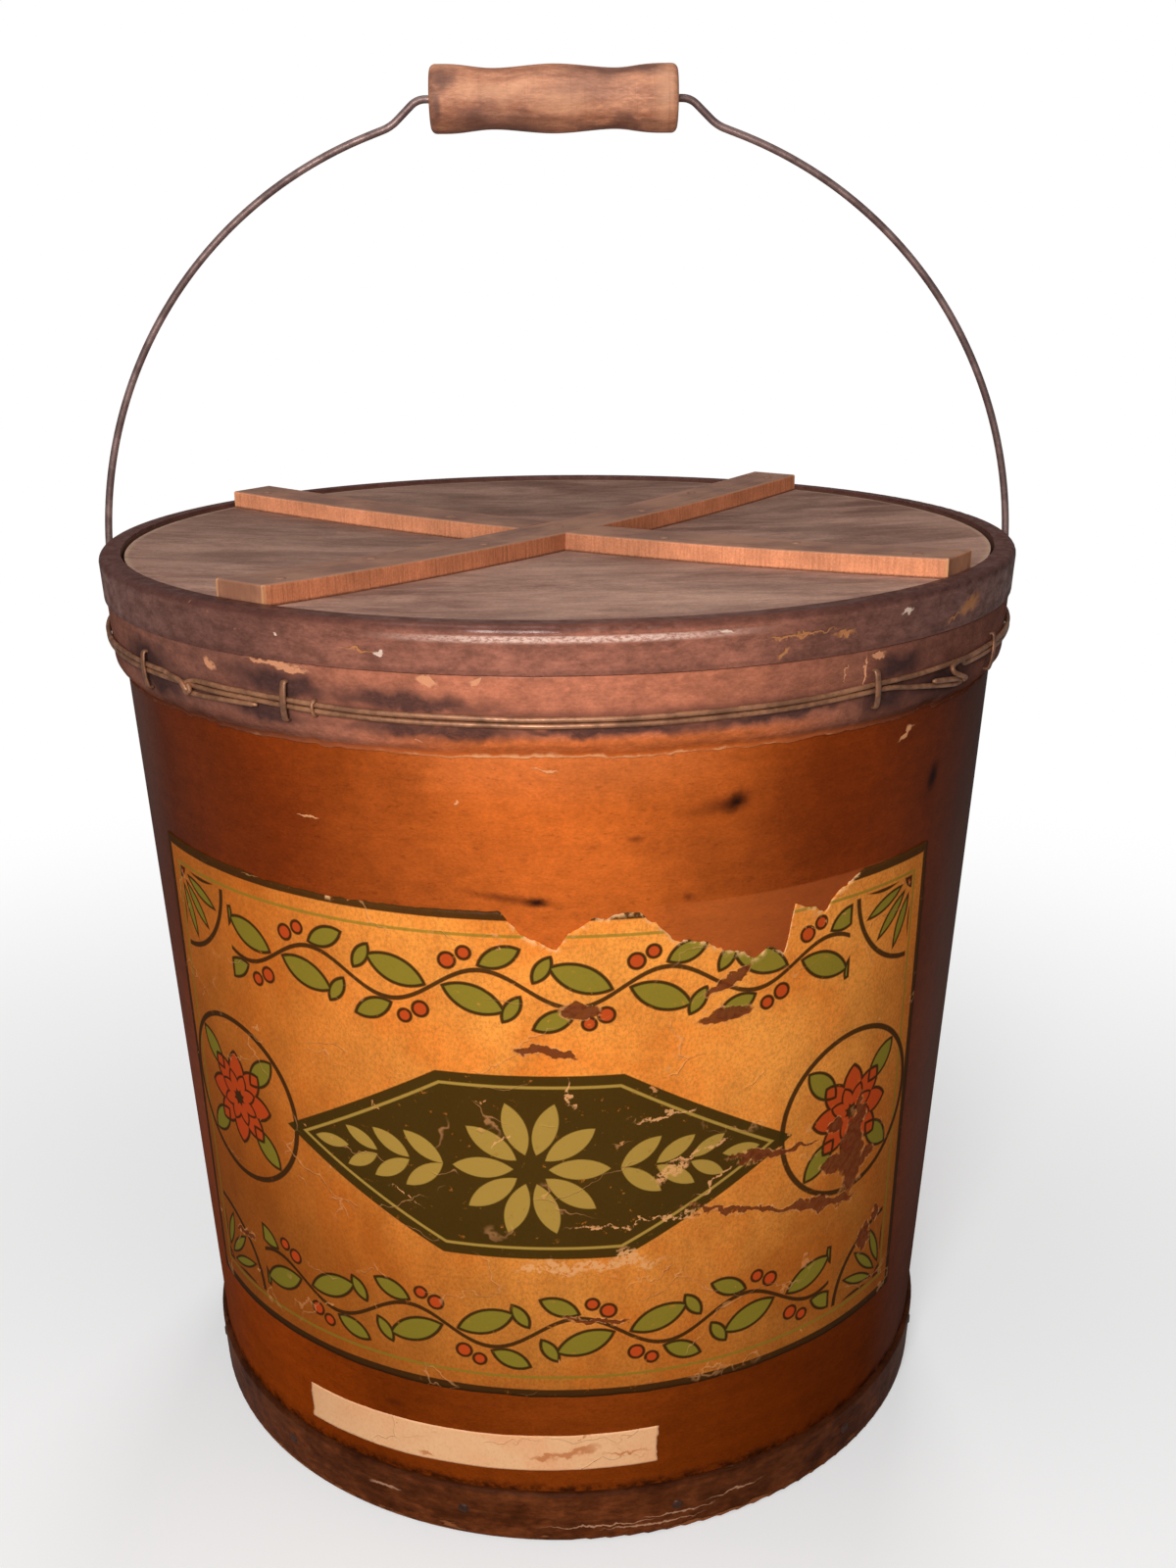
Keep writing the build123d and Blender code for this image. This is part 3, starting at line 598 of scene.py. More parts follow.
# %% Material: varnished tape
TAPE_END, WIRE_HEIGHT = 0.0872, 0.2933
nodes = new_material("varnished_tape")
angle, _, height, radius, unrolled = nodes.use(ROUND_THE_PAIL).values()
worn = nodes.use(BLOTCHES, Vector=unrolled, Blotch_size=0.028, Chip_size=0.0045, Chip_level=0.685)
mottle = nodes.cloud(unrolled, 240, 6, 0.72, along=0.7)
fine = nodes.cloud(unrolled, 1200, 4, 0.7, along=0.6)
mark_across, mark_up, _ = shaken(nodes, unrolled, 330, 0.005)
stain_across, stain_up, _ = shaken(nodes, unrolled, 170, 0.007, 3)
streaks = nodes.cloud(unrolled, 380, 5, 0.65, along=0.08)
front = (angle - 0.05).size().ramp(0.8, 0.15)
tone = nodes.layers(
    paint(132, 86, 72),
    # painted light: lighter at the front, darker towards the sides
    (front, paint(196, 118, 88)),
    (worn["Blotches"].ramp(0.42, 0.7, 0, 0.4), paint(126, 76, 62)),
    # the foot's curve is painted orange where the light falls on the front, and darker as painted shade at
    # the sides
    (height.ramp(0.2902, 0.2862, 0, 0.85) * (angle - 0.08).size().ramp(0.5, 0.2), paint(214, 108, 48)),
    ((angle - 0.05).size().ramp(0.3, 1) * height.ramp(0.289, 0.284, 0, 0.6), paint(112, 64, 48)),
)
tone = nodes.shade(
    tone, mottle.ramp(0.28, 0.72, 1.2, 0.76), fine.ramp(0.3, 0.7, 1.12, 0.86),
    # painted light on the far sides, and painted shade just right of the front
    streaks.ramp(0.3, 0.7, 0.92, 1.08), angle.size().ramp(0.75, 1.05, 1, 1.3),
    angle.ramp(0.1, 0.35, 1, 0.88).over(angle.size().ramp(0.8, 1.2)),
)
# past the end of the tape, on the right, it lies double and is darker
doubled = (mark_across - TAPE_END).ramp(-0.0003, 0.0003) * angle.ramp(1.2, 0.9)
tone = nodes.mix(doubled * 0.2, tone, paint(96, 48, 36))
# the stain lies round the wires, and is heavy in places and faint in others
smudge = marks(stain_across, stain_up, (
    (-140, 296.5, 13, 4.8, 0), (-133, 290.5, 11, 3.6, 0), (-78, 299, 15, 3.6, -0.08),
    (-86, 290.5, 12, 2.6, -0.1), (-40, 297, 20, 2.8, -0.06), (-32, 289.4, 23, 2.2, 0),
    (12, 290.2, 28, 1.6, 0), (60, 291.2, 22, 1.7, 0.05), (96, 291.2, 10, 4, 0), (123, 290, 15, 4.6, 0),
    (101, 299, 8, 3.4, 0), (-300, 294, 50, 4.4, 0), (260, 293, 60, 4.4, 0), (400, 295, 40, 4.4, 0),
    (-420, 292, 30, 3.4, 0),
), blur=0.95)
near_wire = (height - WIRE_HEIGHT).size()
stain = (smudge * 1.2).under(1).over(near_wire.ramp(0.0038, 0.0012) * 0.6) * fine.ramp(0.7, 0.4, 0.8, 1)
tone = nodes.mix(stain * 0.86, tone, paint(50, 38, 40))
chipped = marks(mark_across, mark_up, (
    (-104.8, 300.9, 2, 1.6, -0.5), (-79.4, 304.8, 9.5, 0.7, -0.03), (-74, 303.6, 5, 0.7, -0.05),
    (-34.8, 303.8, 2.6, 1.3, -0.3), (-22, 304.1, 1.3, 1.2, 0), (91.4, 303.6, 2.8, 1, 0.1),
    (87.2, 299, 0.4, 4, 0), (80, 299.8, 0.3, 2.6, 0),
))
chipped = chipped.over(worn["Chips"] * 0.7)
tone = nodes.mix(chipped * 0.85, tone, paint(222, 152, 112))
# at the foot the paper is thin: a pale fringe of fibres, broken here and there; it is painted bright at the
# front as a highlight and darker at the sides as painted shade
outside = radius - height * WALL_GROWTH - WALL_FOOT_RADIUS
foot = outside.ramp(0.0013, 0.0008)
# painted light and shade: the foot is lighter at the front, darker at the sides
tone = nodes.mix(foot * 0.7, tone, nodes.mix(front, paint(104, 48, 24), paint(198, 96, 40)))
frayed = nodes.value("ShaderNodeAttribute", out="Fac", attribute_name="rim")
broken = nodes.cloud(unrolled, 130, 3).ramp(0.46, 0.58).over(angle.size().ramp(0.4, 0.2))
fringe = frayed * fine.ramp(0.35, 0.5, 0.4, 1) * broken * 0.85
tone = nodes.mix(fringe, tone, nodes.mix(front, paint(150, 92, 62), paint(240, 172, 120)))
TAPE = close_material(
    nodes, mottle * 0.5 + fine * 0.3 - chipped * 0.6 + doubled * 0.5, 0.0004,
    Base_Color=tone, Roughness=mottle.ramp(0.35, 0.65, 0.34, 0.55), Specular_IOR_Level=0,
    Coat_Weight=front.ramp(0, 1, 0.03, 0.22) * foot.ramp(1, 0), Coat_Roughness=0.22,
)

# %% [markdown]
# ## Wires and nails
# The hoop wire is drawn brass-coloured wire gone olive brown; the bail is brown iron with worn
# bright patches, and the nails are rusty steel. Metal is made with the Metallic socket, and rust
# or grime is simply a place where it is not metallic.

# %% Materials: wires and nails
def old_metal(name, clean, dull, grime, scale):
    nodes = new_material(name)
    where = nodes.cloud(nodes.place(), scale, 5, 0.65)
    fine = nodes.cloud(nodes.place(), scale * 5, 3, 0.6)
    tone = nodes.layers(
        clean,
        (where.ramp(0.4, 0.6), dull),
        (fine.ramp(0.5, 0.75, 0, 0.3), grime),
    )
    return close_material(
        nodes, fine, 0.00008,
        Base_Color=tone, Metallic=fine.ramp(0.45, 0.7, 0.45, 0.05),
        Roughness=where.ramp(0.3, 0.7, 0.36, 0.6),
    )


HOOP_WIRE = old_metal("hoop_wire", paint(176, 122, 88), paint(132, 88, 62), paint(94, 64, 48), 110)
STAPLE_IRON = old_metal("staple_iron", paint(150, 102, 74), paint(114, 76, 54), paint(78, 50, 38), 260)
IRON_WIRE = old_metal("iron_wire", paint(146, 118, 112), paint(106, 82, 78), paint(74, 52, 46), 90)
NAIL_STEEL = old_metal("nail_steel", paint(120, 108, 100), paint(84, 62, 50), paint(60, 36, 24), 300)
RUSTY_NAILS = old_metal("rusty_nails", paint(78, 44, 28), paint(62, 34, 21), paint(44, 24, 15), 300)
DUSTY_NAILS = old_metal("dusty_nails", paint(176, 128, 104), paint(160, 114, 92), paint(130, 92, 74), 300)
print("metals ready")

# %% [markdown]
# ## The lid and its battens
# The lid is bare wood under years of dust. Seen closely the dust is soft grey-brown streaks from
# left to right, with a pale line where it gathers along the edge. The battens are newer wood: tops
# as dusty as the lid, sides an orange tan with upright saw marks.

# %% Material: lid wood
DUST_LINE = 0.1487
nodes = new_material("lid_wood")
_, _, _, radius, _ = nodes.use(ROUND_THE_PAIL).values()
place = nodes.place()
wood = nodes.use(WOOD_GRAIN, Vector=place, Scale=0.35, Length=9)
across, away, _ = nodes.parts(place)
streaky = nodes.cloud(place, 48, 8, 0.74, 0.35, along=0.35)
smeared = nodes.cloud(place, 190, 5, 0.65, 0.3, along=0.4)
fuzz = nodes.cloud(place, 1100, 4, 0.75, along=0.7)
soft = nodes.cloud(place, 18, 4, 0.55, 0.6, along=0.6)
film = nodes.use(DUST, Vector=place, Patch_size=0.07)
tone = nodes.layers(
    paint(128, 94, 81),
    (streaky.ramp(0.36, 0.64), paint(178, 138, 120)),
    (soft.ramp(0.42, 0.7, 0, 0.3), paint(112, 82, 72)),
    (wood["Streaks"].ramp(0.5, 0.68, 0, 0.2), paint(100, 70, 58)),
    (film["Dust"] * 0.3, paint(184, 152, 134)),
)
tone = nodes.shade(
    # painted light: the lid is lighter at the front and darker at the back
    tone, (away - across * 0.2).ramp(-0.14, 0.1, 1.3, 0.9), smeared.ramp(0.3, 0.7, 0.9, 1.1),
    fuzz.ramp(0.3, 0.7, 0.86, 1.14),
)
edge = (radius - DUST_LINE).ramp(0, 0.002) * smeared.ramp(0.3, 0.55, 0.3, 1)
tone = nodes.mix(edge * 0.6, tone, paint(204, 168, 142))
LID_WOOD = close_material(
    nodes, streaky * 0.4 + wood["Streaks"] * 0.3 + fuzz * 0.4, 0.0006,
    Base_Color=tone, Roughness=streaky.ramp(0, 1, 0.62, 0.9), Specular_IOR_Level=0.05,
)

# %% Material: batten wood
BATTEN_EDGE, BATTEN_END = 0.0088, 0.1488
# the lid's top in the middle, and how fast it rises from there with the square of the distance
LID_TOP, LID_SINK = 0.3149, 0.158


def batten_wood(name, degrees, side_tone, side_deep):
    """Wood for a batten that lies at an angle: tops under dust, sides sawn."""
    nodes = new_material(name)
    lengthwise = nodes.rotated(nodes.place(), degrees)
    along, across, height = nodes.parts(lengthwise)
    wood = nodes.use(WOOD_GRAIN, Vector=lengthwise, Scale=0.8, Length=12)
    saw = nodes.cloud(nodes.stretch(lengthwise, (1, 1, 0.08)), 900, 4, 0.7)
    patch = nodes.cloud(lengthwise, 45, 4, 0.6)
    film = nodes.use(DUST, Vector=nodes.place(), Patch_size=0.03)
    up = nodes.parts(nodes.normal())[2].ramp(0.35, 0.8)
    fuzz = nodes.cloud(lengthwise, 1300, 4, 0.75)
    sawn = nodes.mix(saw.ramp(0.3, 0.78), side_tone, side_deep)
    sawn = nodes.shade(
        sawn, patch.ramp(0.35, 0.7, 1.1, 0.8), fuzz.ramp(0.3, 0.7, 0.85, 1.14),
        # painted shade: the sides darken towards the middle, near the crossing
        along.size().ramp(0, 0.08, 0.66, 1.04),
    )
    topside = nodes.layers(
        paint(178, 130, 108),
        (patch.ramp(0.35, 0.65), paint(144, 106, 92)),
        (wood["Streaks"].ramp(0.5, 0.72, 0, 0.4), paint(96, 66, 50)),
        (film["Dust"] * 0.25, paint(176, 144, 120)),
    )
    ends = nodes.parts(nodes.rotated(nodes.normal(), degrees))[0].size().ramp(0.6, 0.85)
    end_grain = nodes.mix(patch.ramp(0.35, 0.65), paint(198, 136, 102), paint(152, 102, 78))
    arris = (across.size() - BATTEN_EDGE).ramp(0, 0.0009)
    # the corners are light, partly wear and partly a painted highlight
    corners = arris * (along.size() - BATTEN_END).ramp(0, 0.001)
    edges = arris * up * patch.ramp(0.42, 0.6)
    tone = nodes.layers(
        nodes.mix(up, sawn, topside),
        (ends, end_grain),
        (corners * 0.6, paint(226, 164, 114)),
        (edges * 0.5, paint(198, 146, 112)),
    )
    # painted contact shadow and dirt along the foot, where the batten meets the sunk lid
    reach = along.with_(across)
    above_lid = height - LID_TOP - reach * reach * LID_SINK
    tone = nodes.mix((above_lid + fuzz * 0.0008).ramp(0.0014, 0.0006, 0, 0.75), tone, paint(66, 38, 30))
    return close_material(
        nodes, saw * 0.6 + wood["Streaks"] * 0.4, 0.0005,
        Base_Color=tone, Roughness=patch.ramp(0, 1, 0.6, 0.85), Specular_IOR_Level=0.1,
    )


# the under batten's sides are painted lighter than the over batten's: lit and shaded copies of one wood
BATTEN_OVER = batten_wood("batten_wood_over", 52, paint(214, 134, 94), paint(176, 106, 72))
BATTEN_UNDER = batten_wood("batten_wood_under", -34, paint(244, 162, 118), paint(212, 136, 98))

# %% [markdown]
# ## The turned grip
# The grip was turned on a lathe, so its marks run round it, while the grain of the wood runs
# along it. Hands have darkened it in streaks.

# %% Material: turned wood
nodes = new_material("turned_wood")
place = nodes.place()
wood = nodes.use(WOOD_GRAIN, Vector=place, Scale=0.7, Length=9)
rings = nodes.cloud(nodes.stretch(place, (1, 0.04, 0.04)), 900, 3, 0.6)
soil = nodes.cloud(place, 90, 5, 0.65, 0.6, along=0.5)
fuzz = nodes.cloud(place, 1400, 4, 0.7, along=0.3)
tone = nodes.mix(wood["Streaks"].ramp(0.35, 0.65), paint(218, 150, 114), paint(178, 114, 84))
tone = nodes.shade(tone, fuzz.ramp(0.3, 0.7, 0.8, 1.2))
tone = nodes.mix(soil.ramp(0.48, 0.66, 0, 0.4), tone, paint(124, 84, 68))
# where fingers closed on the near side the wood is dark; the pale patches at the right end and in the
# middle are partly rubbed wood and partly painted highlight
grip_along, depth, grip_up = shaken(nodes, place, 120, 0.01, 5)
near = depth.ramp(0.004, -0.004)
soiled = marks(grip_along, grip_up, (
    (-19, 454.5, 16, 3.4, 0), (17.7, 471.8, 12, 2.6, 0), (31, 472.5, 6, 1.8, 0.1), (19, 455, 13, 1.6, 0),
    (-36, 469, 4, 3, 0), (-39.5, 460, 2, 7, 0),
), blur=0.9)
greasy = marks(grip_along, grip_up, (
    (12, 466.5, 11, 2.8, 0), (-25, 458, 9, 2, 0),
), blur=0.95)
rubbed = marks(grip_along, grip_up, (
    (36.5, 464, 3.4, 9, 0), (-18, 465.5, 12, 3, 0), (2, 462, 9, 4, 0),
), blur=0.95)
tone = nodes.layers(
    tone,
    (rubbed * near * 0.5, paint(244, 180, 138)),
    (greasy * near * 0.45, paint(136, 96, 86)),
    (soiled * near * 0.75, paint(100, 68, 60)),
    (rings.ramp(0.55, 0.75, 0, 0.25), paint(130, 84, 62)),
)
TURNED_WOOD = close_material(
    nodes, rings * 0.3 + wood["Streaks"] * 0.4 + fuzz * 0.5, 0.0005,
    Base_Color=tone, Roughness=soil.ramp(0, 1, 0.65, 0.45), Specular_IOR_Level=0.35,
)
print("woods ready")

# %% [markdown]
# ## Paper on a round wall
# A paper sheet is drawn flat, in a coordinate across and one up, and then wrapped on the wall.
# Both papers and the tape are fine grids of points made this way. A torn edge is a line with
# noise in it, and the sheet ends in a small step down to the wood, so that the edge has a
# thickness that catches the light.

# %% Wrapping helpers
def wall_radius(height):
    return WALL_FOOT_RADIUS + WALL_GROWTH * height


def on_wall(turn, height, out):
    """A point at a turn from the front, at a height, so far out from the wall."""
    reach = wall_radius(height) + out
    return reach * math.sin(turn), -reach * math.cos(turn), height


def ragged(value, seed, size):
    """Torn-paper noise along a line, about -1 to 1; size is the length of its coarsest waves."""
    return noise.fractal(Vector((value / size, seed * 7.3, 0)), 0.9, 2.1, 5)


def new_piece(name, points, faces, material, slot, body, replaced):
    """Makes a piece from points and faces, and hangs it on the body it belongs to."""
    mesh = bpy.data.meshes.new(name)
    mesh.from_pydata(points, [], faces)
    mesh.materials.append(material)
    for face in mesh.polygons:
        face.use_smooth = True
    piece = bpy.data.objects.new(name, mesh)
    scene.collection.objects.link(piece)
    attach(piece, body)
    if replaced:
        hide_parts(*replaced)
    print(name, len(points), "points")
    return piece


def mark_rim(piece, strength):
    """Gives each point its share of frayed edge; strength works that out from turn and height."""
    rim = piece.data.attributes.new("rim", "FLOAT", "POINT")
    for index, point in enumerate(piece.data.vertices):
        x, y, height = point.co
        rim.data[index].value = max(0, min(1, strength(math.atan2(x, -y), height)))


EDGE_OFF_WALL = 0.00003


def wrapped_sheet(name, middle, outline, lift, material, slot, replaced, columns, rows, thickness):
    """A sheet on the wall. outline(s, t) turns shares of the sheet into (across, height)."""
    points, faces = [], []
    for row in range(rows + 1):
        for column in range(columns + 1):
            across, height = outline(column / columns, row / rows)
            turn = middle + across / wall_radius(height)
            points.append(on_wall(turn, height, thickness + lift(across, height)))
    for row in range(rows):
        for column in range(columns):
            corner = row * (columns + 1) + column
            faces.append((corner, corner + 1, corner + columns + 2, corner + columns + 1))
    border = list(range(columns))
    border += [(columns + 1) * r + columns for r in range(rows)]
    border += [(columns + 1) * rows + c for c in range(columns, 0, -1)]
    border += [(columns + 1) * r for r in range(rows, 0, -1)]
    first_under = len(points)
    for index in border:
        x, y, z = points[index]
        sunk = (wall_radius(z) + EDGE_OFF_WALL) / math.hypot(x, y)
        points.append((x * sunk, y * sunk, z))
    for step, index in enumerate(border):
        following = border[(step + 1) % len(border)]
        under, next_under = first_under + step, first_under + (step + 1) % len(border)
        faces.append((index, under, next_under, following))
    return new_piece(name, points, faces, material, slot, "pail", replaced)


# %% [markdown]
# ## The ink of the label
# The real label is printed in olive green, coral red and a dark olive on paper that varnish has
# turned orange. The print here is a plain border design of our own: a long dark panel with a
# flower, a vine with leaves and berries above and below, a rosette at each side and a fan in each
# corner. It is drawn by formula, in millimetres from the middle of the sheet. A leaf is what two
# circles have in common; a flower is one petal, folded round a centre.

# %% Drawing helpers
def leaf_shape(along, across, half_length, half_width):
    """Distance to the outline of a leaf, below 0 inside."""
    bend = (half_length**2 + half_width**2) / (2 * half_width)
    return (across.size() + (bend - half_width)).with_(along) - bend


def turned(along, across, degrees):
    """The same two coordinates for a drawing that is turned."""
    c, s = math.cos(math.radians(degrees)), math.sin(math.radians(degrees))
    return along * c + across * s, across * c - along * s


def petals(x, y, count, start, middle, half_length, half_width):
    """Petals round a centre, each a leaf pointing outward."""
    half_step = math.pi / count
    fold = (y.math("ARCTAN2", x) + start).math("PINGPONG", half_step)
    reach = x.with_(y)
    outward, aside = reach * fold.math("COSINE"), reach * fold.math("SINE")
    return leaf_shape(outward - middle, aside, half_length, half_width)


def inked(distance, blur=0.25):
    """1 inside a shape and 0 outside it, with a soft ink edge."""
    return distance.ramp(blur, -blur)


# %% Group: the printed design
def leaves(u, v, places):
    """Single leaves, each (middle across, middle up, lean in degrees, half length, half width)."""
    drawn = []
    for across, up, lean, long, wide in places:
        drawn.append(leaf_shape(*turned(u - across, v - up, lean), long, wide))
    return reduce(Field.under, drawn)


design, u, v = new_group("Printed design", Across=0, Up=0)
side_u, side_v = u.size(), v.size()

# a long six-sided panel with a pale line inside it, a flower in it and a spray to each side
panel = (side_u * 0.5 + side_v * 0.866 - 43).over(side_v - 33)
panel_line = (panel + 4).size() - 0.5
flower = petals(u, v, 10, 0, 15, 9.5, 3.6)
spray = leaves(side_u, side_v, (
    (34, 5, 38, 8, 2.9), (45, 4.6, 34, 7.4, 2.7), (55.5, 4, 30, 6.4, 2.3), (67, 0, 0, 6.5, 2.2),
))

# the vine: one wave of stem, leaf and berries, repeated along the sheet up to its ends
WAVE, VINE_UP, VINE_END = 56, 62, 106
cell = (u / WAVE).math("FRACT") * WAVE - WAVE / 2
cell_u, cell_v = cell.size(), (side_v - VINE_UP) * cell.math("SIGN")
stem = (cell_v - (cell_u * (2 * math.pi / WAVE)).math("SINE") * 6).size() - 0.8
vine_leaves = leaves(cell_u, cell_v, (
    (12, -3.6, -22, 10, 4.3), (20, 10.4, 24, 6.8, 3.2), (23.4, -6.6, 58, 5, 2.3),
))
berries = (cell_u - 4.5).with_(cell_v - 8.6) - 2.5
berries = berries.under((cell_u - 9.6).with_(cell_v - 11.4) - 2.1)
stem, vine_leaves, berries = (part.over(side_u - VINE_END) for part in (stem, vine_leaves, berries))

# a rosette in a ring at each side, with four leaves behind it
rose_u = side_u - 112
rose = petals(rose_u, v, 8, 0, 9.5, 8, 4.6)
rose_inner = petals(rose_u, v, 8, math.pi / 8, 5.2, 5, 2.6)
rose_leaves = petals(rose_u, v, 4, math.pi / 4, 20, 8.5, 4)
rose_reach = rose_u.with_(v)
rose_eye, rose_ring = rose_reach - 2.4, (rose_reach - 30).size() - 1

# border lines, one heavy at the very edge and one thin, and a quarter fan in each corner
edge = (side_u - 146).over(side_v - 87.5)
green_line = (edge + 8.2).size() - 0.5
fan_u, fan_v = side_u - 138, side_v - 79
fan_reach = fan_u.with_(fan_v)
fan = ((fan_reach - 29).size() - 0.9, petals(fan_u, fan_v, 16, 0, 17, 9, 1.9), fan_reach - 5)
fan_arc, rays, fan_half = (part.over(edge + 10) for part in fan)

outlines = reduce(Field.over, [inked(part.size() - line) for part, line in (
    (vine_leaves, 0.55), (rose_leaves, 0.55), (berries, 0.5), (rose, 0.6), (rose_inner, 0.45), (rays, 0.45),
    (fan_half, 0.6),
)])
dark = [outlines] + [inked(part) for part in (stem, rose_ring, fan_arc, rose_eye, edge * -1 - 3.2)]
green = [inked(part) for part in (vine_leaves, rose_leaves, rays)] + [inked(green_line) * 0.8]
PRINTED_DESIGN = close_group(
    design,
    Green=reduce(Field.over, green),
    Red=reduce(Field.over, [inked(part) for part in (berries, rose, fan_half)]),
    Dark=reduce(Field.over, dark),
    Panel=inked(panel),
    Light=reduce(Field.over, [inked(part) for part in (flower, panel_line, spray)]),
)
print("printed design:", len(design.tree.nodes), "nodes")

# %% [markdown]
# ## Old paper
# Varnished paper is orange where it is thin and brown where it is stained. Fibres run through it,
# it is creased, and where it was torn the top layer of print is gone and a rough pale or brown
# layer is left. On the right the paper is worn through to the wood in long tears.

# %% Group: paper fibres and creases
paper, vector = new_group("Old paper", Vector=None)
wavy = paper.vector(*[
    part + paper.cloud(vector, scale, 3) * 0.02
    for part, scale in zip(paper.parts(vector), (60, 75, 90))
])
cells = {"Vector": paper.stretch(wavy, (0.8, 1.8, 1)), "Scale": 26}
folds = paper.value("ShaderNodeTexVoronoi", cells, "Distance", feature="DISTANCE_TO_EDGE")
OLD_PAPER = close_group(
    paper,
    Fibres=paper.cloud(paper.stretch(vector, (0.8, 0.6, 1)), 1300, 4, 0.75),
    Stains=paper.cloud(vector, 26, 6, 0.62, 0.5),
    Creases=folds.ramp(0.016, 0) * paper.cloud(vector, 34, 2).ramp(0.52, 0.6),
)

# %% Material: label paper
LABEL_TURN = math.radians(-4.3)
LABEL_FOOT, LABEL_TOP, LABEL_HALF = 0.0595, 0.2345, 0.146
LABEL_TALL = LABEL_TOP - LABEL_FOOT
nodes = new_material("label_paper")
angle, _, height, _, unrolled = nodes.use(ROUND_THE_PAIL).values()
# across and up are in millimetres from the middle of the sheet, as in the printed design
across = (angle - LABEL_TURN) * (height * WALL_GROWTH + WALL_FOOT_RADIUS) * 1000
up = (height - (LABEL_FOOT + LABEL_TOP) / 2) * 1000
sheet = nodes.use(OLD_PAPER, Vector=unrolled)
ink = nodes.use(PRINTED_DESIGN, Across=across, Up=up)
worn_ink = nodes.cloud(unrolled, 300, 5, 0.7).ramp(0.74, 0.62, 0.4, 1)
tone = nodes.layers(
    paint(255, 161, 68),
    (sheet["Stains"].ramp(0.35, 0.7), paint(244, 134, 48)),
    (sheet["Fibres"].ramp(0.42, 0.7, 0, 0.4), paint(196, 116, 52)),
    (angle.ramp(-0.1, -0.7, 0, 0.42), paint(226, 112, 34)),
    # painted shade: the sheet is darker towards its sides and its lower corners
    ((angle - 0.06).size().ramp(0.3, 1.05, 0, 0.62), paint(152, 76, 20)),
    ((up * -1 + (angle - 0.06).size() * 60).ramp(-10, 120, 0, 0.66), paint(128, 62, 12)),
)
grubby = nodes.cloud(nodes.stretch(unrolled, (1, 0.6, 1)), 60, 5, 0.6)
tone = nodes.shade(tone, grubby.ramp(0.35, 0.7, 1.04, 0.84), sheet["Fibres"].ramp(0.3, 0.7, 1.1, 0.9))
tone = nodes.layers(
    tone,
    (ink["Green"] * worn_ink * 0.92, paint(132, 122, 38)),
    (ink["Red"] * worn_ink * 0.95, paint(196, 70, 26)),
    (ink["Dark"] * worn_ink * 0.94, paint(54, 34, 12)),
    (ink["Panel"] * worn_ink * 0.97, paint(62, 46, 10)),
    (ink["Panel"] * ink["Light"] * worn_ink, paint(178, 140, 62)),
)
# scuffs: small all over, and long tears on the right where the sheet is worn through
scuffs = nodes.use(BLOTCHES, Vector=unrolled, Blotch_size=0.05, Chip_size=0.004, Chip_level=0.67)
torn_across, torn_up, _ = shaken(nodes, nodes.vector(across, up, 0), 0.16, 11)
TEARS = (
    # across, up, half length and half height in millimetres, and slope
    (113.5, -17, 5.5, 15, 0), (105, -18, 5, 3, 0), (121.5, -21, 4, 3.5, 0.4), (117, -3, 1.8, 6.5, 0),
    (104.6, -3, 2.6, 2.2, 0), (80, -4, 17, 1.1, -0.12), (72, -4.5, 4, 2, 0), (84, -26.5, 34, 1, -0.22),
    (100, -31, 15, 2.6, -0.26), (123.6, -56, 2.8, 5, 0.3), (130.5, -49, 2, 4, 0), (61.5, 61.4, 7, 2, 0.5),
    (60.2, 49.2, 9, 3, 0.1), (16, 55, 5, 2.2, 0), (6, 41, 9, 1.5, -0.1), (20, -57, 9, 1.2, 0),
    (-118, -58, 6, 1.2, 0),
)
PALE_FLAKES = (
    (21, -36, 20, 1.7, 0), (3, -38, 8, 1.2, 0), (30, -33, 4, 2.4, 0), (41.8, 17.2, 9, 0.7, 0.1),
    (43.6, -4, 5, 2.4, 0.6), (52, 2, 10, 0.5, 0.3), (33, -21, 20, 0.5, 0.03), (-9, 10, 3, 0.5, 1),
    (58, -10, 6, 0.8, 0.8), (-40, -14, 5, 0.4, -0.5), (12, 28, 0.5, 5, 0),
)
through = marks(torn_across, torn_up, TEARS, blur=0.12, unit=1)
lifted = nodes.cloud(unrolled, 420, 3, 0.6).ramp(0.42, 0.58)
wider = [(left, low, long + 0.8, tall + 0.6, slope) for left, low, long, tall, slope in TEARS]
pale_rim = marks(torn_across, torn_up, wider, blur=0.15, unit=1) * lifted
flaked = marks(torn_across, torn_up, PALE_FLAKES, unit=1)
flaked = flaked * nodes.cloud(unrolled, 700, 3, 0.6).ramp(0.42, 0.5)
tone = nodes.layers(
    tone,
    (scuffs["Chips"] * 0.7, paint(226, 152, 92)),
    (sheet["Creases"] * 0.4, paint(236, 164, 104)),
    (flaked * 0.85, paint(236, 168, 108)),
    (pale_rim * 0.75, paint(232, 156, 92)),
    (through * 0.92, paint(112, 50, 22)),
)
torn_rim = nodes.value("ShaderNodeAttribute", out="Fac", attribute_name="rim")
tone = nodes.mix(torn_rim * lifted * 0.85, tone, paint(242, 184, 126))
LABEL_PAPER = close_material(
    nodes, sheet["Fibres"] * 0.25 + sheet["Creases"] * 0.5 + pale_rim * 0.3 - through * 0.6, 0.0004,
    Base_Color=tone, Roughness=sheet["Fibres"].ramp(0.3, 0.7, 0.42, 0.6), Specular_IOR_Level=0,
    Coat_Weight=0.1, Coat_Roughness=0.35,
)

# %% Piece: label
TORN_TOP = (
    # place from the middle as a share of half the width, and depth as a share of the height
    (-1, 0), (-0.66, 0), (-0.6, 0.004), (-0.36, 0.004), (-0.05, 0.001), (-0.01, 0.037), (0.06, 0.065),
    (0.09, 0.037), (0.14, 0.012), (0.23, 0.004), (0.3, 0.054), (0.4, 0.084), (0.49, 0.114), (0.51, 0.099),
    (0.55, 0.12), (0.57, 0.031), (0.65, 0.053), (0.69, 0.025), (0.76, 0), (1, 0),
)


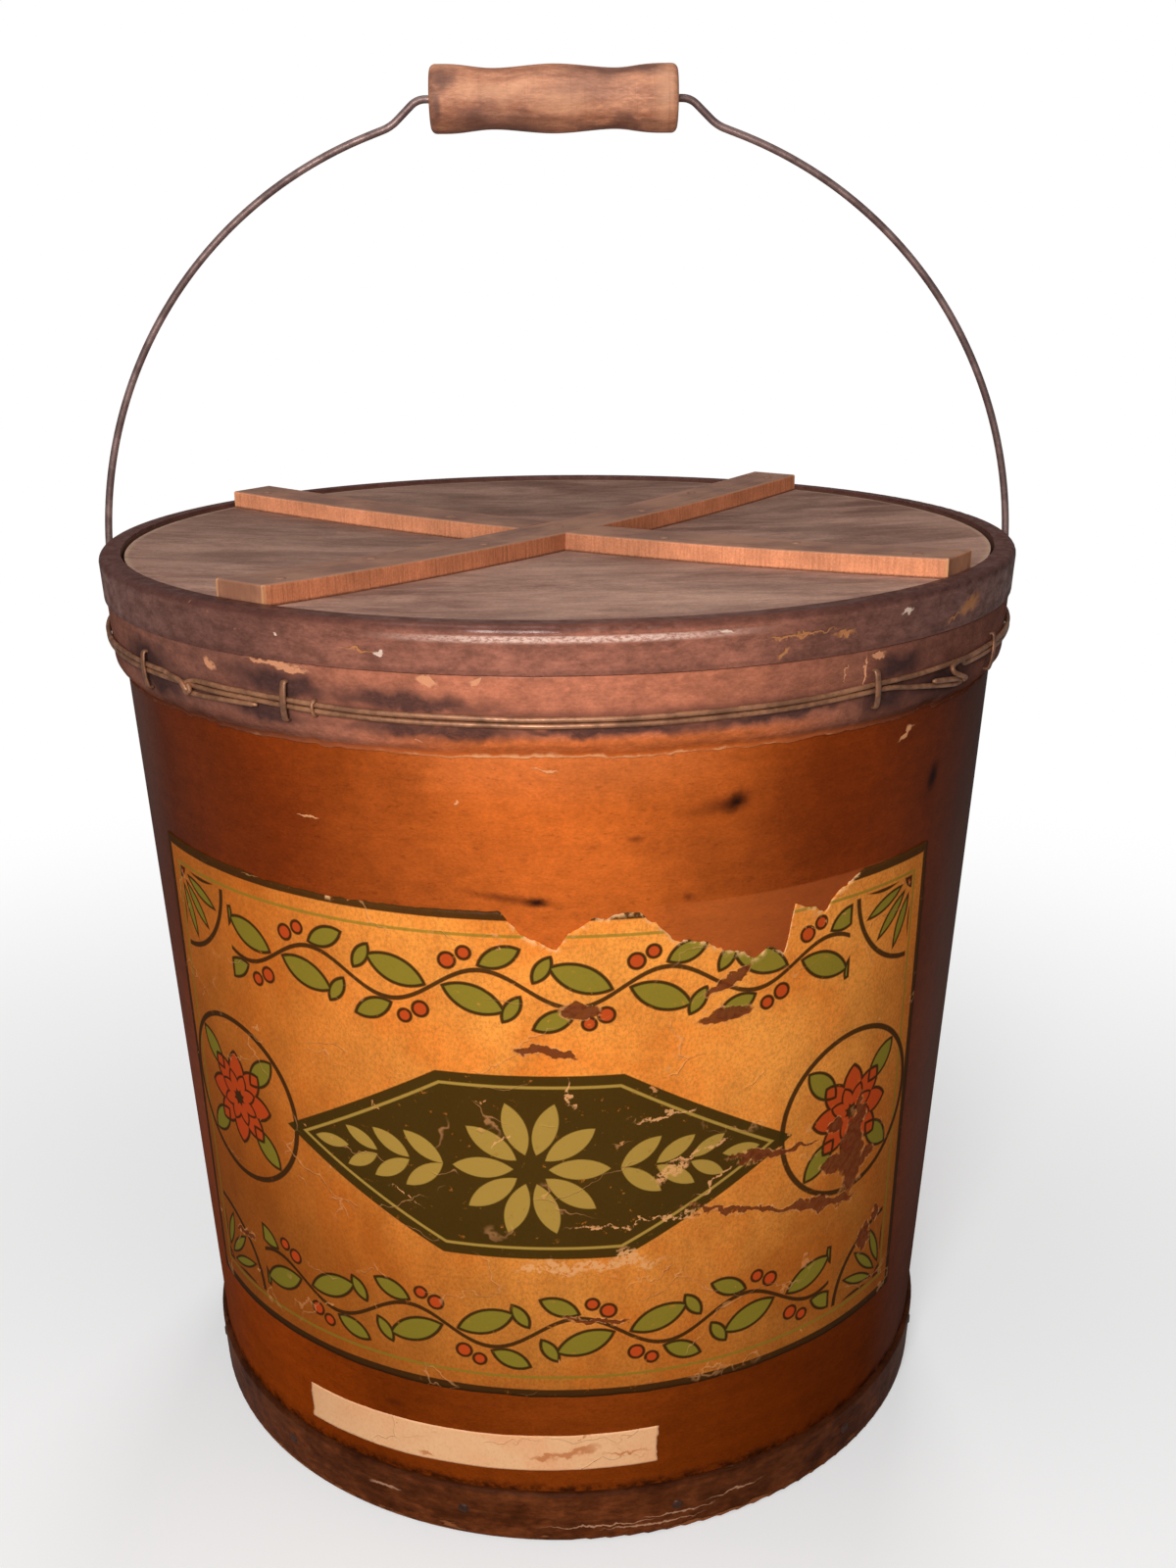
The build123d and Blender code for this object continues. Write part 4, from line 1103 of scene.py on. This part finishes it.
# the torn edge: ragged everywhere, more so where it is deep, with fine fibres there
EDGE_RAGGED, DEEP_RAGGED, FINE_RAGGED, DEEP = 0.0004, 0.0018, 0.0012, 0.02


def torn_top(across):
    """How far below its full height the label ends, in metres."""
    share = across / LABEL_HALF
    for (left, left_depth), (right, right_depth) in zip(TORN_TOP, TORN_TOP[1:]):
        if share <= right:
            depth = left_depth + (right_depth - left_depth) * (share - left) / (right - left)
            break
    torn = min(1, depth / DEEP)
    fine = max(0, ragged(across, 9, 0.0028)) * FINE_RAGGED * torn
    rough = abs(ragged(across, 1, 0.008)) * (EDGE_RAGGED + DEEP_RAGGED * torn)
    return depth * LABEL_TALL + rough + fine


FOOT_WAVER, SIDE_WAVER, SIDE_WORN = 0.0006, 0.0005, 0.0006


def label_outline(s, t):
    across = -LABEL_HALF + 2 * LABEL_HALF * s
    foot = LABEL_FOOT + abs(ragged(across, 2, 0.03)) * FOOT_WAVER
    top = LABEL_TOP - torn_top(across)
    height = foot + (top - foot) * t
    near_side = abs(2 * s - 1) ** 8
    pull = ragged(height, 3 if s < 0.5 else 4, 0.02) * SIDE_WAVER * near_side
    return across + pull - math.copysign(SIDE_WORN, across) * near_side, height


RIPPLE, CURL, CURL_REACH = 0.00008, 0.00035, 0.004


def label_lift(across, height):
    """Paper lies in faint ripples, and lifts a little along its torn top."""
    ripple = RIPPLE * noise.noise(Vector((across * 60, height * 25, 2)))
    below_tear = LABEL_TOP - torn_top(across) - height
    curl = CURL * max(0, 1 - below_tear / CURL_REACH)
    return ripple + curl * max(0, noise.noise(Vector((across * 90, 0, 5))))


RIM_WIDTH, RIM_WAVER, LEAST_TEAR = 0.0011, 0.0009, 0.0012


def label_rim(turn, height):
    """How far the top layer of the label is torn off: a pale line along its torn top."""
    across = (turn - LABEL_TURN) * wall_radius(height)
    torn = torn_top(across)
    width = RIM_WIDTH + RIM_WAVER * noise.noise(Vector((across * 200, 1, 0)))
    return 1.4 - (LABEL_TOP - torn - height) / width if torn > LEAST_TEAR else 0


label = wrapped_sheet(
    "printed_label", LABEL_TURN, label_outline, label_lift, LABEL_PAPER, "label_paper", ["label_sheet"],
    columns=420, rows=130, thickness=0.00033,
)
mark_rim(label, label_rim)

# %% [markdown]
# ## The plain strip
# Under the label is a small strip of cream paper, stuck on a little askew. It is left plain, with
# the stains, the fibres and the worn ends of the real one.

# %% Material and piece: paper strip
STRIP_TURN, STRIP_HALF, STRIP_FOOT, STRIP_TALL = math.radians(-14), 0.063, 0.0283, 0.0145
STRIP_LEAN, STRIP_WAVER, STRIP_RIPPLE = math.radians(1.5), 0.00025, 0.00005
END_RAGGED, END_SHIFT = 0.0009, 0.0004
nodes = new_material("plain_paper")
_, _, _, _, unrolled = nodes.use(ROUND_THE_PAIL).values()
sheet = nodes.use(OLD_PAPER, Vector=unrolled)
scuffs = nodes.use(BLOTCHES, Vector=unrolled, Blotch_size=0.03, Chip_size=0.005, Chip_level=0.66)
tone = nodes.layers(
    paint(255, 198, 146),
    (sheet["Stains"].ramp(0.35, 0.7), paint(252, 180, 128)),
    (sheet["Fibres"].ramp(0.45, 0.7, 0, 0.3), paint(222, 152, 104)),
)
rub_across, rub_up, _ = shaken(nodes, unrolled, 300, 0.008)
rubbed = marks(rub_across, rub_up, (
    (0.5, 36.6, 9, 1.6, 0.25), (-9, 34.5, 5, 1, 0.1), (-52, 30, 3, 0.8, 0), (20, 35, 7, 0.7, 0),
), blur=0.5)
tone = nodes.mix((scuffs["Chips"] * 0.75).over(rubbed * 0.8), tone, paint(204, 120, 66))
plain_paper = close_material(
    nodes, sheet["Fibres"] * 0.4 + sheet["Creases"] * 0.6, 0.0003,
    Base_Color=tone, Roughness=sheet["Fibres"].ramp(0.3, 0.7, 0.55, 0.75), Specular_IOR_Level=0.1,
)


def strip_outline(s, t):
    across = -STRIP_HALF + 2 * STRIP_HALF * s
    height = STRIP_FOOT + STRIP_TALL * t + across * math.tan(STRIP_LEAN)
    height += ragged(across, 5 + round(t), 0.02) * STRIP_WAVER * abs(2 * t - 1) ** 6
    pull = ragged(height, 7 if s < 0.5 else 8, 0.006) * END_RAGGED - END_SHIFT
    return across + math.copysign(pull * abs(2 * s - 1) ** 20, across), height


def strip_lift(across, height):
    return STRIP_RIPPLE * noise.noise(Vector((across * 80, height * 80, 1)))


wrapped_sheet(
    "plain_strip", STRIP_TURN, strip_outline, strip_lift, plain_paper, "plain_paper", ["paper_strip"],
    columns=160, rows=24, thickness=0.0003,
)

# %% [markdown]
# ## The tape, with its flaked foot
# The tape comes down the top hoop, rounds its lower corner and ends on the wall in a ragged,
# flaked line. Its section is a short list of steps outward and down; each step is repeated
# round the pail, and the lowest ones follow the ragged line.

# %% Pieces: tape, and the hoop under it
def carried_round(columns, start, section, closed):
    """Points and faces of a section that is carried round; section(turn) lists its (out, height)."""
    points, faces = [], []
    for column in range(columns):
        turn = 2 * math.pi * column / columns + start
        ring = section(turn)
        points += [on_wall(turn, height, out) for out, height in ring]
        count = len(ring)
        here, beside = column * count, (column + 1) % columns * count
        for step in range(count if closed else count - 1):
            following = (step + 1) % count
            faces.append((here + step, here + following, beside + following, beside + step))
    return points, faces


# both sections: how far outside the wall, and height, in millimetres
HOOP_SECTION = ((0.03, 305.5), (2.8, 305.5), (2.8, 288.2), (2.5, 287.4), (1.9, 287), (0.03, 287))
TAPE_SECTION = (
    (2.85, 305.6), (3.2, 305.7), (3.3, 305.4), (3.3, 302), (3.32, 298), (3.3, 294), (3.32, 290.5),
    (3.31, 288.4),
)
TAPE_TURN_IN = (
    # how far outside the wall, and what share of the way from the corner to the ragged foot
    (3.26, 0), (3.05, 0.2), (2.5, 0.38), (1.7, 0.54), (0.95, 0.68), (0.58, 0.78), (0.46, 0.85), (0.42, 0.9),
    (0.4, 0.95), (0.36, 1), (0.06, 1),
)
HOOP_COLUMNS, TAPE_COLUMNS = 180, 1260
CORNER_HEIGHT, FOOT_HEIGHT, LOWER_BEHIND = 0.2868, 0.2812, 0.0011
FOOT_FLAKES, FOOT_RAGGED, TAPE_SWELL = 0.0026, 0.00055, 0.00012
# the fringe: its least width, and what the fibres and the front add to it
FRINGE, FRINGE_FIBRES, FRINGE_FRONT_FIBRES, FRINGE_FRONT = 0.0002, 0.0012, 0.0016, 0.0005


def tape_foot(turn):
    """Height of the ragged foot of the tape."""
    along = turn * MEAN_RADIUS
    flakes = max(0, ragged(along, 21, 0.02) - 0.2) * FOOT_FLAKES
    middle = FOOT_HEIGHT - LOWER_BEHIND * (1 - math.cos(turn))
    return middle + ragged(along, 22, 0.005) * FOOT_RAGGED + flakes


def hoop_section(turn):
    return [(out * MILLIMETRE, height * MILLIMETRE) for out, height in HOOP_SECTION]


def tape_section(turn):
    foot = tape_foot(turn)
    ring = [(out, height * MILLIMETRE) for out, height in TAPE_SECTION]
    ring += [(out, CORNER_HEIGHT + (foot - CORNER_HEIGHT) * share) for out, share in TAPE_TURN_IN]
    section = []
    for out, height in ring:
        # the paper swells a little where it has come loose, on the hoop's face and corner
        swell = TAPE_SWELL * noise.noise(Vector((turn * 9, height * 160, 4))) if out > 2.5 else 0
        section.append((out * MILLIMETRE + swell, height))
    return section


def tape_rim(turn, height):
    """The pale fringe along the foot of the tape, broadest in front."""
    bright = math.exp(-((turn + 0.06) * 6) ** 2)
    fibres = max(0, ragged(turn * MEAN_RADIUS, 23, 0.006))
    fibrous = (FRINGE_FIBRES + FRINGE_FRONT_FIBRES * bright) * fibres
    width = FRINGE + fibrous + FRINGE_FRONT * bright
    return 1.3 - (height - tape_foot(turn)) / width


hoop_mesh = carried_round(HOOP_COLUMNS, 0, hoop_section, closed=True)
hoop = new_piece("hoop_under_tape", *hoop_mesh, TOP_HOOP, "top_hoop_wood", "pail", ["top_hoop"])
for face in hoop.data.polygons:
    face.use_smooth = False
tape_mesh = carried_round(TAPE_COLUMNS, -math.pi, tape_section, closed=False)
tape = new_piece("torn_tape", *tape_mesh, TAPE, "varnished_tape", "pail", ["hoop_tape"])
mark_rim(tape, tape_rim)

# %% [markdown]
# ## Hoop wires and staples
# Two strands of wire are drawn tight round the tape. Each is closed by hand: one end is bent to
# an eye, the other goes through it and is folded back. The strands are never quite parallel.
# They are tubes that follow a line of points, given as turn, height and distance off the tape.

# %% Helper: a tube along a line
def tube(name, lines, radius, sides, material, slot, replaced, body="pail", flat=1, face=None):
    """Round (or flattened) tubes along lines of points; face is the side they show outward."""
    points, faces = [], []
    for line in lines:
        line = [Vector(p) for p in line]
        first = len(points)
        for index, point in enumerate(line):
            ahead = (line[min(index + 1, len(line) - 1)] - line[max(index - 1, 0)]).normalized()
            outward = Vector(face) if face else Vector((point.x, point.y, 0)).normalized()
            outward = (outward - ahead * outward.dot(ahead)).normalized()
            across = ahead.cross(outward)
            thin = 0.55 if index in (0, len(line) - 1) and not face else 1
            for side in range(sides):
                turn = 2 * math.pi * side / sides
                arm = outward * math.cos(turn) * flat + across * math.sin(turn)
                points.append(point + radius * thin * arm)
        for index in range(len(line) - 1):
            for side in range(sides):
                here, beside = first + index * sides + side, first + index * sides + (side + 1) % sides
                faces.append((here, beside, beside + sides, here + sides))
        faces.append(tuple(first + side for side in reversed(range(sides))))
        faces.append(tuple(first + (len(line) - 1) * sides + side for side in range(sides)))
    return new_piece(name, [tuple(p) for p in points], faces, material, slot, body, replaced)


TAPE_FACE = 0.0033


def on_tape(turn, height, off):
    """The same as on_wall, but off the face of the tape."""
    return Vector(on_wall(turn, height, TAPE_FACE + off))


def smooth_line(corners, steps=8):
    """A smooth line through points, as a Catmull-Rom curve."""
    line = []
    padded = [corners[0]] + list(corners) + [corners[-1]]
    for before, start, end, after in zip(padded, padded[1:], padded[2:], padded[3:]):
        for step in range(steps):
            t = step / steps
            place = []
            for b, s, e, a in zip(before, start, end, after):
                bend, twist = 2 * b - 5 * s + 4 * e - a, 3 * s - b - 3 * e + a
                place.append(0.5 * (2 * s + (e - b) * t + bend * t * t + twist * t**3))
            line.append(tuple(place))
    line.append(tuple(corners[-1]))
    return line


# %% Pieces: the two strands
WIRE_RADIUS, WIRE_SIDES, STRAND_STEPS, CURVE_STEPS = 0.0008, 10, 180, 4
STRANDS_LOW, STRANDS_RISE, STRANDS_WAVER = 0.2927, 0.0015, 0.0003
HALF_APART, STRAND_WAVER, STRAND_SLACK = 0.0009, 0.00022, 0.0001


def strand_height(turn):
    """Height of the middle between the strands: lowest in front, higher at the sides."""
    waver = STRANDS_WAVER * noise.noise(Vector((turn * 4, 0, 8)))
    return STRANDS_LOW + STRANDS_RISE * min(1, (turn / 0.6) ** 2) + waver


def strand(start, end, above):
    """The long run of a strand, as (turn, height, off) points."""
    run = []
    for step in range(STRAND_STEPS + 1):
        turn = start + (end - start) * step / STRAND_STEPS
        waver = STRAND_WAVER * noise.noise(Vector((turn * 7, above * 900, 3)))
        height = strand_height(math.remainder(turn, 2 * math.pi)) + above + waver
        slack = STRAND_SLACK * (1 + noise.noise(Vector((turn * 5, 0, above * 900))))
        run.append((turn, height, WIRE_RADIUS + slack))
    return run


def bent_end(*places):
    """An eye or a hook as (turn, height, off) points; the list has the last two in millimetres."""
    return [(turn, height * MILLIMETRE, off * MILLIMETRE) for turn, height, off in places]


upper_line = bent_end(
    (-0.766, 293.8, 2.2), (-0.757, 292.4, 2.6), (-0.769, 291.2, 2.4), (-0.784, 292.4, 1.5),
    (-0.776, 294, 0.9),
) + strand(-0.745, 2 * math.pi - 0.86, HALF_APART) + bent_end(
    (5.44, 294.6, 0.9), (5.485, 294.1, 1.6), (5.508, 292.7, 2.4), (5.52, 291.3, 1.6), (5.55, 291, 1.1),
    (5.62, 291.4, 0.9), (5.7, 291.8, 0.9),
)
lower_line = bent_end(
    (0.77, 292.1, 2.6), (0.82, 291.1, 2.6), (0.866, 289.9, 2.4), (0.885, 288.8, 1.9), (0.872, 288.1, 1.4),
    (0.83, 288.9, 1.2), (0.77, 290.4, 1), (0.71, 291.8, 1), (0.672, 292.8, 1),
) + strand(0.64, 0.905 - 2 * math.pi, -HALF_APART) + bent_end(
    (-5.393, 294.9, 1.2), (-5.425, 295.3, 1.8), (-5.449, 294.6, 2.6), (-5.447, 293, 3.4),
    (-5.425, 291.4, 4), (-5.405, 290.2, 3.8), (-5.407, 289.3, 3),
)
for name, solid, line in (
    ("wire_strand_upper", "hoop_wire_upper", upper_line),
    ("wire_strand_lower", "hoop_wire_lower", lower_line),
):
    points = [on_tape(*place) for place in smooth_line(line, CURVE_STEPS)]
    tube(name, [points], WIRE_RADIUS, WIRE_SIDES, HOOP_WIRE, "hoop_wire", [solid])

# a short piece of wire is wound once round both, on the left of the front
WRAP_TURN, WRAP_TURNS, WRAP_STEPS, WRAP_RADIUS, WRAP_SIDES = -0.4524, 1.15, 29, 0.0005, 8
WRAP_TALL, WRAP_DEEP, WRAP_OFF, WRAP_PITCH = 0.0022, 0.0014, 0.001, 0.0025
wrap = []
for step in range(WRAP_STEPS + 1):
    share = step / WRAP_STEPS
    turn = 2 * math.pi * WRAP_TURNS * share
    height = strand_height(-0.45) + WRAP_TALL * math.cos(turn)
    off = WRAP_OFF + WRAP_DEEP * math.sin(turn)
    wrap.append(on_tape(WRAP_TURN + WRAP_PITCH * share, height, off))
tube("wire_wrap", [wrap], WRAP_RADIUS, WRAP_SIDES, HOOP_WIRE, "hoop_wire", [])

# %% Pieces: staples
STAPLES = (
    # turn from the front in degrees, middle height in millimetres, lean in degrees
    (-53.5, 293.4, -3), (-29.5, 294.4, 2), (35.1, 293.8, -4), (60.1, 292.6, 8),
    (121.5, 293.6, 2), (145.5, 293.2, -2), (-150.5, 293.4, 3), (-127.5, 293.8, -1),
)
STAPLE_LINE = (
    # above the staple's middle, and off the tape, in millimetres, from one point over the back to the other
    (5.7, -1), (5.7, 0.7), (5.35, 1.5), (3.2, 1.95), (0.5, 2.15), (-2.4, 2.1), (-5.1, 1.6), (-5.6, 0.8),
    (-5.6, -1),
)
TAPE_RADIUS, STAPLE_RADIUS, STAPLE_FLATNESS = 0.155, 0.00112, 0.5
staple_lines = []
for turn, middle, lean in STAPLES:
    slope = math.tan(math.radians(lean)) / TAPE_RADIUS
    corners = []
    for above, off in STAPLE_LINE:
        up = above * MILLIMETRE
        place = on_tape(math.radians(turn) + up * slope, middle * MILLIMETRE + up, off * MILLIMETRE)
        corners.append(tuple(place))
    staple_lines.append(smooth_line(corners, CURVE_STEPS))
tube(
    "hammered_staples", staple_lines, STAPLE_RADIUS, WIRE_SIDES, STAPLE_IRON, "hoop_wire", ["wire_staples"],
    flat=STAPLE_FLATNESS,
)

# %% [markdown]
# ## The bail
# One piece of iron wire is bent into a wide arc, with a small set-back shoulder on each side of
# the grip, and its ends go in through the rim and are headed there. The line is built from
# straight runs and arcs, corner by corner, for the right half, and mirrored. Round heads close
# the ends.

# %% Piece: bail wire
BAIL_RADIUS, BAIL_SIDES, HOLE_HEIGHT, BAIL_END = 0.00128, 16, 0.2982, 0.145
ARC_RADIUS, ARC_STEPS, LEG_ACROSS, ARC_HEIGHT = 0.151, 60, 0.1613, 0.3104
# from the end of the arc the wire runs on a little, then rises and leans in to the grip's level
SHOULDER_ACROSS, SHOULDER_RUN, SHOULDER_RISE, SHOULDER_LEAN = 0.062, 0.008, 0.0085, 0.009
UPPER_BEND, LOWER_BEND, FOOT_BEND = 0.007, 0.014, 0.0032
INSIDE_GRIP, INSIDE_RIM = 0.02, 0.151
HEAD_STEPS, HEAD_RADIUS = (0.1458, 0.1456, 0.1452, 0.1449), 0.0024


def rounded(before, corner, after, radius, steps=8):
    """Points of the arc that rounds off a corner between two straight runs."""
    before, corner, after = Vector(before), Vector(corner), Vector(after)
    back, on = (before - corner).normalized(), (after - corner).normalized()
    half = back.angle(on) / 2
    middle = corner + (back + on).normalized() * (radius / math.sin(half))
    start, end = corner + back * (radius / math.tan(half)), corner + on * (radius / math.tan(half))
    arm, other = start - middle, end - middle
    return [middle + arm.slerp(other, step / steps).normalized() * radius for step in range(steps + 1)]


def flat_point(across, height):
    return Vector((across, 0, height))


shoulder_turn = math.asin((SHOULDER_ACROSS - (LEG_ACROSS - ARC_RADIUS)) / ARC_RADIUS)
shoulder = flat_point(SHOULDER_ACROSS, ARC_HEIGHT + ARC_RADIUS * math.cos(shoulder_turn))
lower_bend = shoulder + flat_point(-math.cos(shoulder_turn), math.sin(shoulder_turn)) * SHOULDER_RUN
grip_line = lower_bend.z + SHOULDER_RISE
upper_bend = flat_point(lower_bend.x - SHOULDER_LEAN, grip_line)
half_bail = [flat_point(0, grip_line), flat_point(INSIDE_GRIP, grip_line)]
half_bail += rounded(half_bail[0], upper_bend, lower_bend, UPPER_BEND)
half_bail += rounded(upper_bend, lower_bend, shoulder, LOWER_BEND)
for step in range(ARC_STEPS + 1):
    turn = shoulder_turn + (math.pi / 2 - shoulder_turn) * step / ARC_STEPS
    across = LEG_ACROSS - ARC_RADIUS * (1 - math.sin(turn))
    half_bail.append(flat_point(across, ARC_HEIGHT + ARC_RADIUS * math.cos(turn)))
leg_foot, bail_end = flat_point(LEG_ACROSS, HOLE_HEIGHT), flat_point(BAIL_END, HOLE_HEIGHT)
half_bail += rounded(flat_point(LEG_ACROSS, ARC_HEIGHT), leg_foot, bail_end, FOOT_BEND)
half_bail += [flat_point(INSIDE_RIM, HOLE_HEIGHT), bail_end]
whole_bail = [flat_point(-point.x, point.z) for point in reversed(half_bail[1:])] + half_bail
heads = [[flat_point(side * across, HOLE_HEIGHT) for across in HEAD_STEPS] for side in (-1, 1)]
for name, lines, radius, solids in (
    ("bent_bail", [whole_bail], BAIL_RADIUS, ["bail_wire"]), ("bail_heads", heads, HEAD_RADIUS, []),
):
    tube(name, lines, radius, BAIL_SIDES, IRON_WIRE, "iron_wire", solids, body="bail", face=(0, -1, 0))

# %% [markdown]
# ## Dress the solid parts
# A solid part keeps its mesh and only gets a new material in its slots.

# %% Dress
FINISHES = {
    "body_wall": VARNISHED_WOOD, "bottom_board": BARE_WOOD, "lid_ledge": BARE_WOOD,
    "bottom_hoop": DARK_HOOP, "bottom_nails": RUSTY_NAILS, "seam_tacks": NAIL_STEEL,
    "ledge_tacks": NAIL_STEEL, "batten_nails": DUSTY_NAILS, "top_hoop": TOP_HOOP,
    "rim_binding": BINDING, "hoop_tape": TAPE, "hoop_wire_upper": HOOP_WIRE,
    "hoop_wire_lower": HOOP_WIRE, "wire_staples": HOOP_WIRE, "bail_wire": IRON_WIRE,
    "bail_washers": IRON_WIRE, "handle_grip": TURNED_WOOD, "lid_board": LID_WOOD,
    "lid_batten_over": BATTEN_OVER, "lid_batten_under": BATTEN_UNDER,
    "label_sheet": LABEL_PAPER, "paper_strip": plain_paper,
}
for node_name, material in FINISHES.items():
    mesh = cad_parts[node_name].data
    mesh.materials.clear()
    mesh.materials.append(material)
print("dressed:", len(FINISHES), "nodes")
